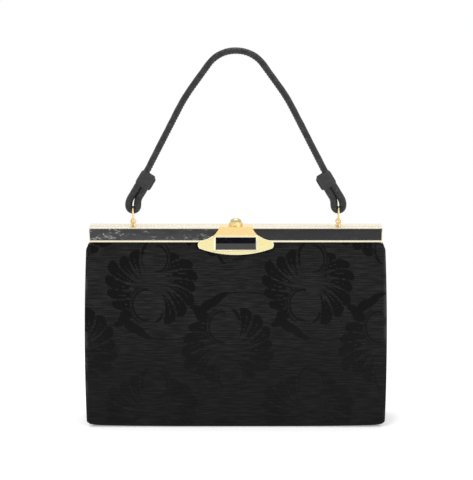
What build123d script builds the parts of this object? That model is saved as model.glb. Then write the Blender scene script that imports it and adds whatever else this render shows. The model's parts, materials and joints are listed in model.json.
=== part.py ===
from build123d import *
import math
import os

# Brocade frame handbag with a rolled handle. Millimetres, +Z up, the front faces -Y.
# The origin is on the floor, in the middle of the base.

# Driving sizes of the frame
frame_length = 251.5
frame_top = 171.0  # height of the closed frame's top above the floor
rail_height = 12.4
half_depth = 11.2  # one frame half, front to seam
top_sheet = 1.0
sheet = 0.8
upper_lip = 0.8
lower_lip = 1.7
lip_proud = 0.2  # the lower lip stands this much in front of the rail
trough_depth = 1.6
channel_width = 2.2  # the slot that grips the cloth
seam_gap = 0.3  # between the two halves
arm_width = 5.5
arm_sheet = 1.2
arm_stagger = 1.5  # the back arms lie this much inside the front arms
hinge_drop = 60.0  # hinge rivets below the frame's top
ear_radius = 4.3
pin_radius = 1.6
pin_clearance = 0.05
pin_head_radius = 2.7
pin_head = 0.9
open_clearance = 0.3  # between cloth that moves and cloth that stays

# Driving sizes of the body
body_overhang = 4.25  # the body at its widest past each end of the frame
shoulder_draw = 1.4  # the shoulders inside the widest place
base_draw = 1.6  # the base inside the widest place
base_depth = 62.0
shoulder_radius = 7.2
shoulder_drop = 0.4  # the cover's shoulders below the place where it leaves the rail
corner_radius = 4.6
base_edge_radius = 5.0
panel_bulge = 3.0
mouth_drop = 0.2  # the cloth leaves the rail this far below its lip
cloth = 1.2
board = 1.6
lining_sheet = 0.8
lining_top_drop = 4.0  # top hem of the lining below the rail's roof
layer_gap = 0.1
hinge_cut_radius = 21.5  # cloth that stays is cut on this circle round the hinge
hinge_cut_above = 5.0
hinge_cut_below = 9.0
board_side_inset = 13.5  # side edges of the boards inside the widest place
lining_side_inset = 14.5
gusset_sheet = 1.3
gusset_foot_inset = 3.5  # the gusset's foot inside the widest place
gusset_pin_clearance = 1.7  # between the gusset and the rivets' inner heads
gusset_foot_fold = 8.0
gusset_middle_height = 50.0
gusset_middle_fold = 10.4
gusset_hinge_fold = 14.4
gusset_top_fold = 8.4

# Driving sizes of the clasp
clasp_top_half_width = 13.8
clasp_fold_half_width = 20.5
clasp_wing_half_width = 29.9
clasp_tip_half_width = 32.3
clasp_top_rise = 0.85
clasp_flare_dip = 1.0
clasp_tip_inset = 1.3
clasp_tip_fall = 3.0
clasp_foot_rise = 1.4
clasp_nose = 0.3
clasp_sheet = 0.8
clasp_fold_drop = 6.4  # fold of the sloping panel below the frame's top
clasp_wing_drop = 11.0
clasp_tip_drop = 14.5
clasp_foot_drop = 23.0
clasp_tongue = 3.5  # the tongue reaches this far past the seam
window_half_width = 17.3
window_height = 10.8
setting_border = 2.0
setting_edge = 1.3
setting_depth = 1.8
setting_chamfer = 0.4
stone_sunk = 0.1  # the stone's ridge below the setting's front
stone_clearance = 0.1
stone_crown = 0.7
inlay_end = 15.0  # inner ends of the front inlays, hidden by the clasp plate
inlay_clearance = 0.05
inlay_chamfer = 0.25

# Driving sizes of the push button and the latch
button_back = 3.5  # the button's axis in front of the seam
collar_radius = 6.25
collar_wall = 0.85
collar_height = 2.4
button_clearance = 0.15
button_travel = 1.6
cup_height = 1.5
stem_radius = 1.5
stem_clearance = 0.3
stone_girdle = 1.2
girdle_taper = 20.0
stone_crown_height = 1.7
crown_taper = 52.0
stem_end_drop = 7.6
housing_half_width = 13.0
housing_floor_drop = 10.6
spring_half_width = 9.0
spring_sheet = 0.4
spring_width = 3.0
spring_toe = 1.0
latch_drop = 6.0
latch_sheet = 0.9
latch_front = 1.8  # the bar reaches this far in front of the stem's axis
latch_nose = 2.25
latch_half_width = 6.0
latch_reach = 1.5
latch_clearance = 0.8
catch_half_width = 8.5
catch_height = 8.5
catch_window_clearance = 0.5
catch_window_height = 3.6
housing_clearance = 1.0  # lining round the housing

# Driving sizes of the posts, the rings and the handle
post_half_span = 88.6
post_back = 5.5  # the posts behind the seam
post_disc_radius = 2.8
post_disc = 0.9
post_tail_radius = 1.2
post_tail = 1.5
eye_radius = 2.0
eye_wire = 0.75
eye_sink = 0.35  # the eye is brazed this far into its disc
ring_radius = 6.4
ring_wire = 0.7
strand_clearance = 0.3
cord_radius = 2.8
cord_gap = 0.3  # between the two strands in the collar
handle_top = 321.6  # centreline of the handle at its top
top_half_run = 15.0
top_bend = 28.0
shoulder_half_span = 44.0
shoulder_height = 281.5
shoulder_bend = 150.0
leg_half_span = 76.5
leg_height = 218.0
leg_bend = 60.0
strand_bend_rise = 4.5
strand_bend = 12.0
band_sheet = 0.9
band_clearance = 0.15
band_length = 13.5
band_middle = 210.0
tail_reach = 4.5  # the folded end goes this far past the band's middle
bend_slack = 0.05  # a short straight between the two bends of the fold

# Worked out from the sizes above
half_length = frame_length / 2
body_half_width = half_length + body_overhang
shoulder_half_width = body_half_width - shoulder_draw
base_half_width = body_half_width - base_draw
board_half_width = body_half_width - board_side_inset
lining_half_width = body_half_width - lining_side_inset
back_arm_outer = half_length - arm_stagger
pin_inner = back_arm_outer - arm_sheet - pin_clearance - pin_head
gusset_foot_half_width = body_half_width - gusset_foot_inset
gusset_hinge_half_width = pin_inner - gusset_pin_clearance
rail_foot = frame_top - rail_height
trough_back = half_depth - trough_depth
channel_front = trough_back - sheet
channel_back = channel_front - channel_width
inner_plate = channel_back - sheet
rail_inside = frame_top - top_sheet
lip_front = half_depth + lip_proud
hinge_height = frame_top - hinge_drop
cover_in_channel = channel_front - layer_gap
mouth = rail_foot - mouth_drop
cover_shoulder = mouth - shoulder_drop
base_half_depth = base_depth / 2
board_inset = cloth + layer_gap
lining_inset = board_inset + board + layer_gap
seam = seam_gap / 2
ring_centre = frame_top + post_disc - eye_sink + eye_radius + eye_wire + ring_radius
wire_top = ring_centre + ring_radius
loop_radius = ring_wire + strand_clearance + cord_radius
button_y = -button_back
tongue_top = frame_top + clasp_top_rise
plate_back = lip_front
plate_front = plate_back + clasp_sheet
window_top = frame_top - clasp_fold_drop - setting_edge
window_foot = window_top - window_height
cup_foot = tongue_top + button_travel + open_clearance
cup_top = cup_foot + cup_height
stem_end = frame_top - stem_end_drop
housing_floor = frame_top - housing_floor_drop
latch_top = frame_top - latch_drop + latch_sheet
arm_zone = pin_inner - pin_clearance - open_clearance
wide = 400.0  # longer than anything, for cutting tools
under_base = -1.0


def bulge_centre():
    """Centre and radius, in the side view, of the arc that a panel's face follows."""
    dy, dz = base_half_depth - cover_in_channel, mouth
    chord = math.hypot(dy, dz)
    radius = (chord**2 / 4 + panel_bulge**2) / (2 * panel_bulge)
    inward = radius - panel_bulge
    middle_y, middle_z = (base_half_depth + cover_in_channel) / 2, mouth / 2
    return middle_y - dz / chord * inward, middle_z - dy / chord * inward, radius


def cover_depth(height):
    """Depth of the panel's outer face from the middle plane, at a height."""
    centre_y, centre_z, radius = bulge_centre()
    return centre_y + math.sqrt(radius**2 - (height - centre_z) ** 2)


def bag_section(inset):
    """The closed bag seen from the side, drawn in from its outer face by an inset."""
    section_top = rail_inside - layer_gap
    middle = mouth / 2
    with BuildSketch(Plane.YZ) as section:
        with BuildLine():
            Polyline((0, section_top), (cover_in_channel, section_top), (cover_in_channel, mouth))
            ThreePointArc((cover_in_channel, mouth), (cover_depth(middle), middle), (base_half_depth, 0))
            Line((base_half_depth, 0), (0, 0))
            mirror(about=Plane.YZ)
        make_face()
        fillet(section.vertices().group_by(Axis.Y)[0], base_edge_radius)
        if inset:
            offset(amount=-inset, kind=Kind.INTERSECTION)
    return section.sketch


def layer(outer_inset, thickness, half_width, top):
    """A sheet of one thickness all round the bag, open above a height."""
    outer, inner = bag_section(outer_inset), bag_section(outer_inset + thickness)
    with BuildPart() as sheet_part:
        extrude(outer, amount=half_width, dir=(1, 0, 0), both=True)
        extrude(inner, amount=half_width, dir=(1, 0, 0), both=True, mode=Mode.SUBTRACT)
        with Locations((0, 0, top)):
            Box(wide, wide, wide, align=(Align.CENTER, Align.CENTER, Align.MIN), mode=Mode.SUBTRACT)
    return sheet_part.part


def cover_outline():
    """The bag's cover seen from the front: a tab inside the rail over round shoulders."""
    tab = shoulder_half_width - shoulder_radius - layer_gap
    shoulder_corner = (shoulder_half_width, cover_shoulder)
    with BuildPart() as outline:
        with BuildSketch(Plane.XZ) as face:
            with BuildLine():
                Polyline((0, frame_top), (tab, frame_top), (tab, cover_shoulder), shoulder_corner)
                ThreePointArc(shoulder_corner, (body_half_width, mouth / 2), (base_half_width, 0))
                Line((base_half_width, 0), (0, 0))
                mirror(about=Plane.YZ)
            make_face()
            fillet(face.vertices().group_by(Axis.Y)[0], corner_radius)
            for corner in (0, -1):
                at_shoulder = face.vertices().filter_by_position(
                    Axis.Y, cover_shoulder - layer_gap, cover_shoulder + layer_gap
                )
                fillet(at_shoulder.sort_by(Axis.X)[corner], shoulder_radius)
        extrude(amount=wide / 2, both=True)
    return outline.part


def side_block(y_from, y_to, z_from, z_to):
    """A block right across the bag between two depths and two heights."""
    with BuildPart() as block:
        with Locations((0, y_from, z_from)):
            Box(wide, y_to - y_from, z_to - z_from, align=(Align.CENTER, Align.MIN, Align.MIN))
    return block.part


def swing_space():
    """Where the back half swings: cloth that stays is cut away there."""
    with BuildPart() as space:
        add(side_block(-seam, wide / 2, hinge_height - hinge_cut_below, frame_top))
        with BuildSketch(Plane.YZ):
            with Locations((0, hinge_height)):
                Circle(hinge_cut_radius)
        extrude(amount=wide / 2, both=True, mode=Mode.SUBTRACT)
        for end in (-1, 1):
            side = Align.MIN if end > 0 else Align.MAX
            with Locations((end * arm_zone, -seam, hinge_height + hinge_cut_above)):
                Box(wide, wide, rail_foot, align=(side, Align.MIN, Align.MIN))
    return space.part


def back_half_space():
    """Where the cloth belongs to the back half of the frame."""
    with BuildPart() as space:
        add(side_block(seam, wide / 2, hinge_height, frame_top))
        with BuildSketch(Plane.YZ):
            with Locations((0, hinge_height)):
                Circle(hinge_cut_radius + open_clearance)
        extrude(amount=wide / 2, both=True, mode=Mode.SUBTRACT)
    return space.part


cover_shape = cover_outline()
stay_cut = swing_space()
move_keep = back_half_space()
cover_sheet = layer(0, cloth, body_half_width + 1, rail_inside - 2 * cloth)
board_sheet = layer(board_inset, board, board_half_width, mouth - 2 * layer_gap)
lining_layer = layer(lining_inset, lining_sheet, lining_half_width, rail_inside - lining_top_drop)
base_flat = base_half_depth - base_edge_radius
back_side = side_block(0, wide, under_base, frame_top)
front_side = side_block(-wide, 0, under_base, frame_top)
base_zone = side_block(-base_flat, base_flat, under_base, lining_inset)

# Frame halves: a bent channel rail with an inlay trough, end caps and two arms


def rail_profile(side):
    """The rail's section as points (depth, height); side is -1 in front and +1 behind."""
    outline = [
        (half_depth, frame_top),
        (seam, frame_top),
        (seam, rail_inside),
        (inner_plate, rail_inside),
        (inner_plate, rail_foot + sheet),
        (channel_back, rail_foot + sheet),
        (channel_back, rail_inside),
        (channel_front, rail_inside),
        (channel_front, rail_foot),
        (lip_front, rail_foot),
        (lip_front, rail_foot + lower_lip),
        (trough_back, rail_foot + lower_lip),
        (trough_back, frame_top - upper_lip),
        (half_depth, frame_top - upper_lip),
    ]
    return [(side * depth, height) for depth, height in outline]


def arm_profile(side):
    """A side arm, narrowing to the ear round the hinge rivet."""
    return [
        (side * seam, frame_top),
        (side * (seam + arm_width), frame_top),
        (side * (seam + arm_width), rail_foot),
        (side * ear_radius, hinge_height),
        (side * seam, hinge_height),
    ]


def frame_half(side, arm_outer, bore_radius):
    """One half of the frame as a single solid."""
    with BuildPart() as half:
        with BuildSketch(Plane.YZ):
            with BuildLine():
                Polyline(*rail_profile(side), close=True)
            make_face()
        extrude(amount=half_length - sheet, both=True)
        for end in (-1, 1):
            cap_plane = Plane.YZ.offset(end * (half_length - sheet / 2))
            with BuildSketch(cap_plane):
                with Locations((side * (lip_front + seam) / 2, frame_top - rail_height / 2)):
                    Rectangle(lip_front - seam, rail_height)
            extrude(amount=sheet / 2, both=True)
            with BuildSketch(Plane.YZ.offset(end * (arm_outer - arm_sheet / 2))):
                with BuildLine():
                    Polyline(*arm_profile(side), close=True)
                make_face()
                with Locations((0, hinge_height)):
                    Circle(ear_radius)
                    Circle(bore_radius, mode=Mode.SUBTRACT)
            extrude(amount=arm_sheet / 2, both=True)
    return half


front_frame_blank = frame_half(-1, half_length, pin_radius)
with BuildPart() as front_frame:
    add(front_frame_blank.part)
    with Locations((0, button_y, frame_top)):
        Cylinder(stem_radius + stem_clearance, 4 * top_sheet, mode=Mode.SUBTRACT)
front_frame.part.label = "front_frame"
export_list = [front_frame]

back_frame_blank = frame_half(1, back_arm_outer, pin_radius + pin_clearance)
with BuildPart() as back_frame:
    add(back_frame_blank.part)
    with Locations((-post_half_span, post_back, frame_top), (post_half_span, post_back, frame_top)):
        Cylinder(post_tail_radius, 4 * top_sheet, mode=Mode.SUBTRACT)
back_frame.part.label = "back_frame"
export_list.append(back_frame)

# Hinge rivets: a shank through both ears with a flat head at each end


def hinge_pin(end):
    """A rivet at one end of the frame."""
    shank_inner = back_arm_outer - arm_sheet - pin_clearance
    with BuildPart() as pin:
        with BuildSketch(Plane.YZ.offset(end * shank_inner)):
            with Locations((0, hinge_height)):
                Circle(pin_radius)
        extrude(amount=end * (half_length - shank_inner))
        with BuildSketch(Plane.YZ.offset(end * half_length)):
            with Locations((0, hinge_height)):
                Circle(pin_head_radius)
        extrude(amount=end * pin_head)
        fillet(pin.faces().sort_by(Axis.X)[-1 if end > 0 else 0].edges(), pin_head / 2)
        with BuildSketch(Plane.YZ.offset(end * shank_inner)):
            with Locations((0, hinge_height)):
                Circle(pin_head_radius)
        extrude(amount=-end * pin_head)
    return pin


hinge_pin_left = hinge_pin(-1)
hinge_pin_left.part.label = "hinge_pin_left"
hinge_pin_right = hinge_pin(1)
hinge_pin_right.part.label = "hinge_pin_right"
export_list += [hinge_pin_left, hinge_pin_right]

# Inlay bars in the troughs


def inlay(side, x_from, x_to):
    """A flat bar between two places along the rail."""
    foot = rail_foot + lower_lip + inlay_clearance
    height = frame_top - upper_lip - inlay_clearance - foot
    with BuildPart() as bar:
        with Locations(((x_from + x_to) / 2, side * (trough_back + half_depth) / 2, foot + height / 2)):
            Box(x_to - x_from, trough_depth, height)
        chamfer(bar.faces().sort_by(Axis.Y)[0 if side < 0 else -1].edges(), inlay_chamfer)
    return bar


inlay_outer = half_length - sheet - inlay_clearance
front_inlay_left = inlay(-1, -inlay_outer, -inlay_end)
front_inlay_left.part.label = "front_inlay_left"
front_inlay_right = inlay(-1, inlay_end, inlay_outer)
front_inlay_right.part.label = "front_inlay_right"
back_inlay = inlay(1, -inlay_outer, inlay_outer)
back_inlay.part.label = "back_inlay"
export_list += [front_inlay_left, front_inlay_right, back_inlay]

# Clasp plate: flared wings, a sloping upper panel and a tongue over the rail


def clasp_outline():
    """The plate seen from the front, as a sketch on the XZ plane."""
    top, fold = tongue_top, frame_top - clasp_fold_drop
    wing, tip = frame_top - clasp_wing_drop, frame_top - clasp_tip_drop
    foot = frame_top - clasp_foot_drop
    waist = (clasp_fold_half_width, fold - clasp_flare_dip)
    under_tip = (clasp_tip_half_width - clasp_tip_inset, tip - clasp_tip_fall)
    with BuildSketch(Plane.XZ) as outline:
        with BuildLine():
            Line((0, top), (clasp_top_half_width, top))
            ThreePointArc((clasp_top_half_width, top), waist, (clasp_wing_half_width, wing))
            ThreePointArc((clasp_wing_half_width, wing), (clasp_tip_half_width, tip), under_tip)
            ThreePointArc(under_tip, (clasp_tip_half_width / 2, foot + clasp_foot_rise), (0, foot))
            mirror(about=Plane.YZ)
        make_face()
    return outline.sketch


fold_height = frame_top - clasp_fold_drop
setting_front = plate_front + setting_depth
plate_outline = clasp_outline()
with BuildPart() as clasp_plate:
    with BuildSketch(Plane.YZ):
        with BuildLine():
            Polyline(
                (-plate_front, frame_top - clasp_foot_drop - 1),
                (-plate_back, frame_top - clasp_foot_drop - 1),
                (-plate_back, frame_top),
                (-seam, frame_top),
                (-seam, frame_top + seam / 2),
                (clasp_tongue, frame_top + seam / 2),
                (clasp_tongue, tongue_top),
                (-plate_back + clasp_nose, tongue_top),
                (-setting_front, fold_height),
                (-plate_front, fold_height),
                close=True,
            )
        make_face()
    extrude(amount=clasp_tip_half_width + 1, both=True)
    extrude(plate_outline, amount=half_depth * 2, dir=(0, 1, 0), both=True, mode=Mode.INTERSECT)
    with Locations((0, button_y, tongue_top)):
        Cylinder(stem_radius + stem_clearance, 4 * clasp_sheet, mode=Mode.SUBTRACT)
clasp_plate.part.label = "clasp_plate"
export_list.append(clasp_plate)

# Stone setting and its stone, in front of the plate
window_middle = (window_top + window_foot) / 2
with BuildPart() as stone_setting:
    with BuildSketch(Plane.XZ.offset(plate_front)):
        with Locations((0, window_middle)):
            Rectangle(2 * (window_half_width + setting_border), window_height + 2 * setting_edge)
            Rectangle(2 * window_half_width, window_height, mode=Mode.SUBTRACT)
    extrude(amount=setting_depth)
    chamfer(stone_setting.faces().sort_by(Axis.Y)[0].outer_wire().edges(), setting_chamfer)
stone_setting.part.label = "stone_setting"
export_list.append(stone_setting)

stone_half_width = window_half_width - stone_clearance
stone_half_height = window_height / 2 - stone_clearance
stone_front = setting_front - stone_sunk
with BuildPart() as clasp_stone:
    with Locations((0, -(plate_front + stone_front) / 2, window_middle)):
        Box(2 * stone_half_width, stone_front - plate_front, 2 * stone_half_height)
    for side in (-1, 1):
        for end in (-1, 1):
            apex = Vector(0, -stone_front, window_middle)
            ridge_end = Vector(end * stone_half_width, -stone_front + stone_crown / 3, window_middle)
            edge_middle = Vector(0, -stone_front + stone_crown, window_middle + side * stone_half_height)
            normal = (ridge_end - apex).cross(edge_middle - apex)
            if normal.Y > 0:
                normal = -normal
            split(bisect_by=Plane(origin=apex, z_dir=normal), keep=Keep.BOTTOM)
clasp_stone.part.label = "clasp_stone"
export_list.append(clasp_stone)

# Push button: a fixed collar, a gold cup with its stem, and a faceted stone
with BuildPart() as button_collar:
    with BuildSketch(Plane.XY.offset(tongue_top)):
        with Locations((0, button_y)):
            Circle(collar_radius)
            Circle(collar_radius - collar_wall, mode=Mode.SUBTRACT)
    extrude(amount=collar_height)
    fillet(button_collar.faces().sort_by(Axis.Z)[-1].outer_wire().edges(), collar_wall / 2)
button_collar.part.label = "button_collar"
export_list.append(button_collar)

cup_radius = collar_radius - collar_wall - button_clearance
with BuildPart() as push_button:
    with BuildSketch(Plane.XY.offset(cup_foot)):
        with Locations((0, button_y)):
            Circle(cup_radius)
    extrude(amount=cup_height)
    with BuildSketch(Plane.XY.offset(stem_end)):
        with Locations((0, button_y)):
            Circle(stem_radius)
    extrude(amount=cup_foot - stem_end)
push_button.part.label = "push_button"
export_list.append(push_button)

with BuildPart() as button_stone:
    with BuildSketch(Plane.XY.offset(cup_top)):
        with Locations((0, button_y)):
            RegularPolygon(cup_radius, 8)
    extrude(amount=stone_girdle, taper=girdle_taper)
    with BuildSketch(Plane.XY.offset(cup_top + stone_girdle)):
        with Locations((0, button_y)):
            RegularPolygon(cup_radius - stone_girdle * math.tan(math.radians(girdle_taper)), 8)
    extrude(amount=stone_crown_height, taper=crown_taper)
button_stone.part.label = "button_stone"
export_list.append(button_stone)

# Latch: a housing under the rail, a leaf spring, a bar on the stem and the catch it reaches for
housing_back = inner_plate - layer_gap
with BuildPart() as latch_housing:
    with BuildSketch(Plane.XZ.offset(housing_back)):
        with Locations((0, (housing_floor + rail_inside) / 2)):
            Rectangle(2 * housing_half_width, rail_inside - housing_floor)
        with Locations((0, (housing_floor + sheet + rail_inside) / 2)):
            Rectangle(
                2 * (housing_half_width - sheet), rail_inside - housing_floor - sheet, mode=Mode.SUBTRACT
            )
    extrude(amount=-(housing_back - 2 * seam))
latch_housing.part.label = "latch_housing"
export_list.append(latch_housing)

spring_foot = housing_floor + sheet
with BuildPart() as latch_spring:
    with BuildSketch(Plane.XZ.offset(button_back - spring_width / 2)):
        with BuildLine():
            ThreePointArc(
                (-spring_half_width, spring_foot), (0, stem_end), (spring_half_width, spring_foot)
            )
            Line((spring_half_width, spring_foot), (spring_half_width - spring_toe, spring_foot))
            ThreePointArc(
                (spring_half_width - spring_toe, spring_foot),
                (0, stem_end - spring_sheet),
                (spring_toe - spring_half_width, spring_foot),
            )
            Line((spring_toe - spring_half_width, spring_foot), (-spring_half_width, spring_foot))
        make_face()
    extrude(amount=spring_width)
latch_spring.part.label = "latch_spring"
export_list.append(latch_spring)

with BuildPart() as latch_bar:
    with BuildSketch(Plane.YZ):
        with BuildLine():
            Polyline(
                (button_y - latch_front, latch_top),
                (latch_reach, latch_top),
                (latch_reach, latch_top - latch_nose),
                (latch_reach - latch_sheet, latch_top - latch_nose),
                (latch_reach - latch_sheet, latch_top - latch_sheet),
                (button_y - latch_front, latch_top - latch_sheet),
                close=True,
            )
        make_face()
    extrude(amount=latch_half_width, both=True)
    with Locations((0, button_y, latch_top)):
        Cylinder(stem_radius, 4 * latch_sheet, mode=Mode.SUBTRACT)
latch_bar.part.label = "latch_bar"
export_list.append(latch_bar)

catch_front = latch_reach + latch_clearance
with BuildPart() as catch_plate:
    with BuildSketch(Plane.XZ.offset(-catch_front)):
        with Locations((0, rail_inside - catch_height / 2)):
            Rectangle(2 * catch_half_width, catch_height)
        with Locations((0, latch_top - latch_sheet)):
            Rectangle(2 * (latch_half_width + catch_window_clearance), catch_window_height, mode=Mode.SUBTRACT)
    extrude(amount=-sheet)
catch_plate.part.label = "catch_plate"
export_list.append(catch_plate)

# Cover of brocade over boards, with a lining inside
with BuildPart() as front_panel:
    add(cover_sheet)
    add(cover_shape, mode=Mode.INTERSECT)
    add(back_side, mode=Mode.SUBTRACT)
    add(base_zone, mode=Mode.SUBTRACT)
front_panel.part.label = "front_panel"
export_list.append(front_panel)

with BuildPart() as base_panel:
    add(cover_sheet)
    add(cover_shape, mode=Mode.INTERSECT)
    add(base_zone, mode=Mode.INTERSECT)
base_panel.part.label = "base_panel"
export_list.append(base_panel)

with BuildPart() as lower_back_panel:
    add(cover_sheet)
    add(cover_shape, mode=Mode.INTERSECT)
    add(front_side, mode=Mode.SUBTRACT)
    add(base_zone, mode=Mode.SUBTRACT)
    add(stay_cut, mode=Mode.SUBTRACT)
lower_back_panel.part.label = "lower_back_panel"
export_list.append(lower_back_panel)

with BuildPart() as upper_back_panel:
    add(cover_sheet)
    add(cover_shape, mode=Mode.INTERSECT)
    add(move_keep, mode=Mode.INTERSECT)
upper_back_panel.part.label = "upper_back_panel"
export_list.append(upper_back_panel)

with BuildPart() as front_board:
    add(board_sheet)
    add(back_side, mode=Mode.SUBTRACT)
    add(base_zone, mode=Mode.SUBTRACT)
front_board.part.label = "front_board"
export_list.append(front_board)

with BuildPart() as base_board:
    add(board_sheet)
    add(base_zone, mode=Mode.INTERSECT)
base_board.part.label = "base_board"
export_list.append(base_board)

with BuildPart() as lower_back_board:
    add(board_sheet)
    add(front_side, mode=Mode.SUBTRACT)
    add(base_zone, mode=Mode.SUBTRACT)
    add(stay_cut, mode=Mode.SUBTRACT)
lower_back_board.part.label = "lower_back_board"
export_list.append(lower_back_board)

with BuildPart() as upper_back_board:
    add(board_sheet)
    add(move_keep, mode=Mode.INTERSECT)
upper_back_board.part.label = "upper_back_board"
export_list.append(upper_back_board)

with BuildPart() as lining:
    add(lining_layer)
    add(stay_cut, mode=Mode.SUBTRACT)
    with Locations((0, 0, housing_floor - housing_clearance)):
        bottom = (Align.CENTER, Align.CENTER, Align.MIN)
        housing_width = 2 * (housing_half_width + housing_clearance)
        Box(housing_width, half_depth * 2, rail_height, align=bottom, mode=Mode.SUBTRACT)
lining.part.label = "lining"
export_list.append(lining)

with BuildPart() as upper_back_lining:
    add(lining_layer)
    add(move_keep, mode=Mode.INTERSECT)
upper_back_lining.part.label = "upper_back_lining"
export_list.append(upper_back_lining)

# Side gussets: one sheet with an inward fold on each side, and a leaf that moves with the back half


def gusset_sheet_part():
    """The whole right gusset as a sheet lofted through chevrons from the base to the rail."""
    foot = cloth + layer_gap
    stations = [
        (foot, gusset_foot_half_width, gusset_foot_fold),
        (gusset_middle_height, gusset_foot_half_width, gusset_middle_fold),
        (hinge_height - hinge_cut_radius, gusset_hinge_half_width, gusset_hinge_fold),
        (hinge_height, gusset_hinge_half_width, gusset_hinge_fold),
        (mouth - layer_gap, gusset_hinge_half_width, gusset_top_fold),
    ]
    with BuildPart() as chevrons:
        for height, half_width, fold in stations:
            inner_face = cloth + 2 * layer_gap
            depth = cover_depth(height) - inner_face if height > foot else base_flat
            with BuildSketch(Plane.XY.offset(height)):
                with BuildLine():
                    Polyline(
                        (half_width, -depth),
                        (half_width - fold, 0),
                        (half_width, depth),
                        (half_width - gusset_sheet, depth),
                        (half_width - fold - gusset_sheet, 0),
                        (half_width - gusset_sheet, -depth),
                        close=True,
                    )
                make_face()
        loft(ruled=True)
    return chevrons.part


gusset_whole = gusset_sheet_part()
with BuildPart() as right_gusset:
    add(gusset_whole)
    add(stay_cut, mode=Mode.SUBTRACT)
right_gusset.part.label = "right_gusset"
with BuildPart() as left_gusset:
    mirror(right_gusset.part, about=Plane.YZ)
left_gusset.part.label = "left_gusset"
with BuildPart() as right_gusset_leaf:
    add(gusset_whole)
    add(move_keep, mode=Mode.INTERSECT)
right_gusset_leaf.part.label = "right_gusset_leaf"
with BuildPart() as left_gusset_leaf:
    mirror(right_gusset_leaf.part, about=Plane.YZ)
left_gusset_leaf.part.label = "left_gusset_leaf"
export_list += [right_gusset, left_gusset, right_gusset_leaf, left_gusset_leaf]

# Eye posts on the back half, and the rings that hang in them
eye_height = ring_centre - ring_radius
with BuildPart() as right_post:
    with BuildSketch(Plane.XY.offset(frame_top)):
        with Locations((post_half_span, post_back)):
            Circle(post_disc_radius)
    extrude(amount=post_disc)
    fillet(right_post.faces().sort_by(Axis.Z)[-1].edges(), post_disc / 3)
    with BuildSketch(Plane.XY.offset(frame_top - post_tail)):
        with Locations((post_half_span, post_back)):
            Circle(post_tail_radius)
    extrude(amount=post_tail)
    with Locations(Location((post_half_span, post_back, eye_height), (90, 0, 0))):
        Torus(eye_radius, eye_wire)
right_post.part.label = "right_post"
with BuildPart() as left_post:
    mirror(right_post.part, about=Plane.YZ)
left_post.part.label = "left_post"
with BuildPart() as right_ring:
    with Locations(Location((post_half_span, post_back, ring_centre), (0, 90, 0))):
        Torus(ring_radius, ring_wire)
right_ring.part.label = "right_ring"
with BuildPart() as left_ring:
    mirror(right_ring.part, about=Plane.YZ)
left_ring.part.label = "left_ring"
export_list += [right_post, left_post, right_ring, left_ring]

# Rolled handle: one cord, folded back through both rings, with its ends inside the bands
outer_strand = post_half_span + loop_radius
inner_strand = post_half_span - loop_radius
loop_foot = wire_top - loop_radius
main_bend_height = wire_top + strand_bend_rise
lean = math.atan2(outer_strand - leg_half_span, leg_height - main_bend_height)
strand_apart = (2 * cord_radius + cord_gap) / math.cos(lean)
tail_bend_height = main_bend_height + (2 * loop_radius - strand_apart) / math.tan(lean)
tail_end_height = band_middle + tail_reach
tail_end_half_span = inner_strand - (tail_end_height - tail_bend_height) * math.tan(lean)
right_side = [
    (top_half_run, handle_top),
    (shoulder_half_span, shoulder_height),
    (leg_half_span, leg_height),
    (outer_strand, main_bend_height),
    (outer_strand, loop_foot),
    (inner_strand, loop_foot),
    (inner_strand, tail_bend_height),
    (tail_end_half_span, tail_end_height),
]
fold_bend = loop_radius - bend_slack
bends = [top_bend, shoulder_bend, leg_bend, strand_bend, fold_bend, fold_bend, strand_bend]
route_points = [(-x, z) for x, z in reversed(right_side)] + right_side
route_bends = list(reversed(bends)) + bends
handle_plane = Plane.XZ.offset(-post_back)
with BuildPart() as handle_cord:
    with BuildLine(handle_plane) as route:
        FilletPolyline(*route_points, radius=route_bends)
    with BuildSketch(Plane(origin=route.line @ 0, z_dir=route.line % 0)):
        Circle(cord_radius)
    sweep()
handle_cord.part.label = "handle_cord"
export_list.append(handle_cord)

# Flat bands that hold both strands together
main_at_band = outer_strand - (band_middle - main_bend_height) * math.tan(lean)
band_centre = Vector(main_at_band - strand_apart / 2, post_back, band_middle)
band_along = Vector(-math.sin(lean), 0, math.cos(lean))
band_across = Vector(math.cos(lean), 0, math.sin(lean))
hole_height = 2 * (cord_radius + band_clearance)
hole_width = hole_height + 2 * cord_radius + cord_gap
with BuildPart() as right_band:
    with BuildSketch(Plane(origin=band_centre, x_dir=band_across, z_dir=band_along)):
        SlotOverall(hole_width + 2 * band_sheet, hole_height + 2 * band_sheet)
        SlotOverall(hole_width, hole_height, mode=Mode.SUBTRACT)
    extrude(amount=band_length / 2, both=True)
right_band.part.label = "right_band"
with BuildPart() as left_band:
    mirror(right_band.part, about=Plane.YZ)
left_band.part.label = "left_band"
export_list += [right_band, left_band]

os.makedirs("parts", exist_ok=True)
for piece in export_list:
    export_step(piece.part, f"parts/{piece.part.label}.step")
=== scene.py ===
"""Looks of the brocade frame handbag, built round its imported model. Metres, +Z up, the front faces -Y."""

import json
import logging
import math
from dataclasses import dataclass
from enum import Enum
from typing import Optional, Sequence, Union

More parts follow.
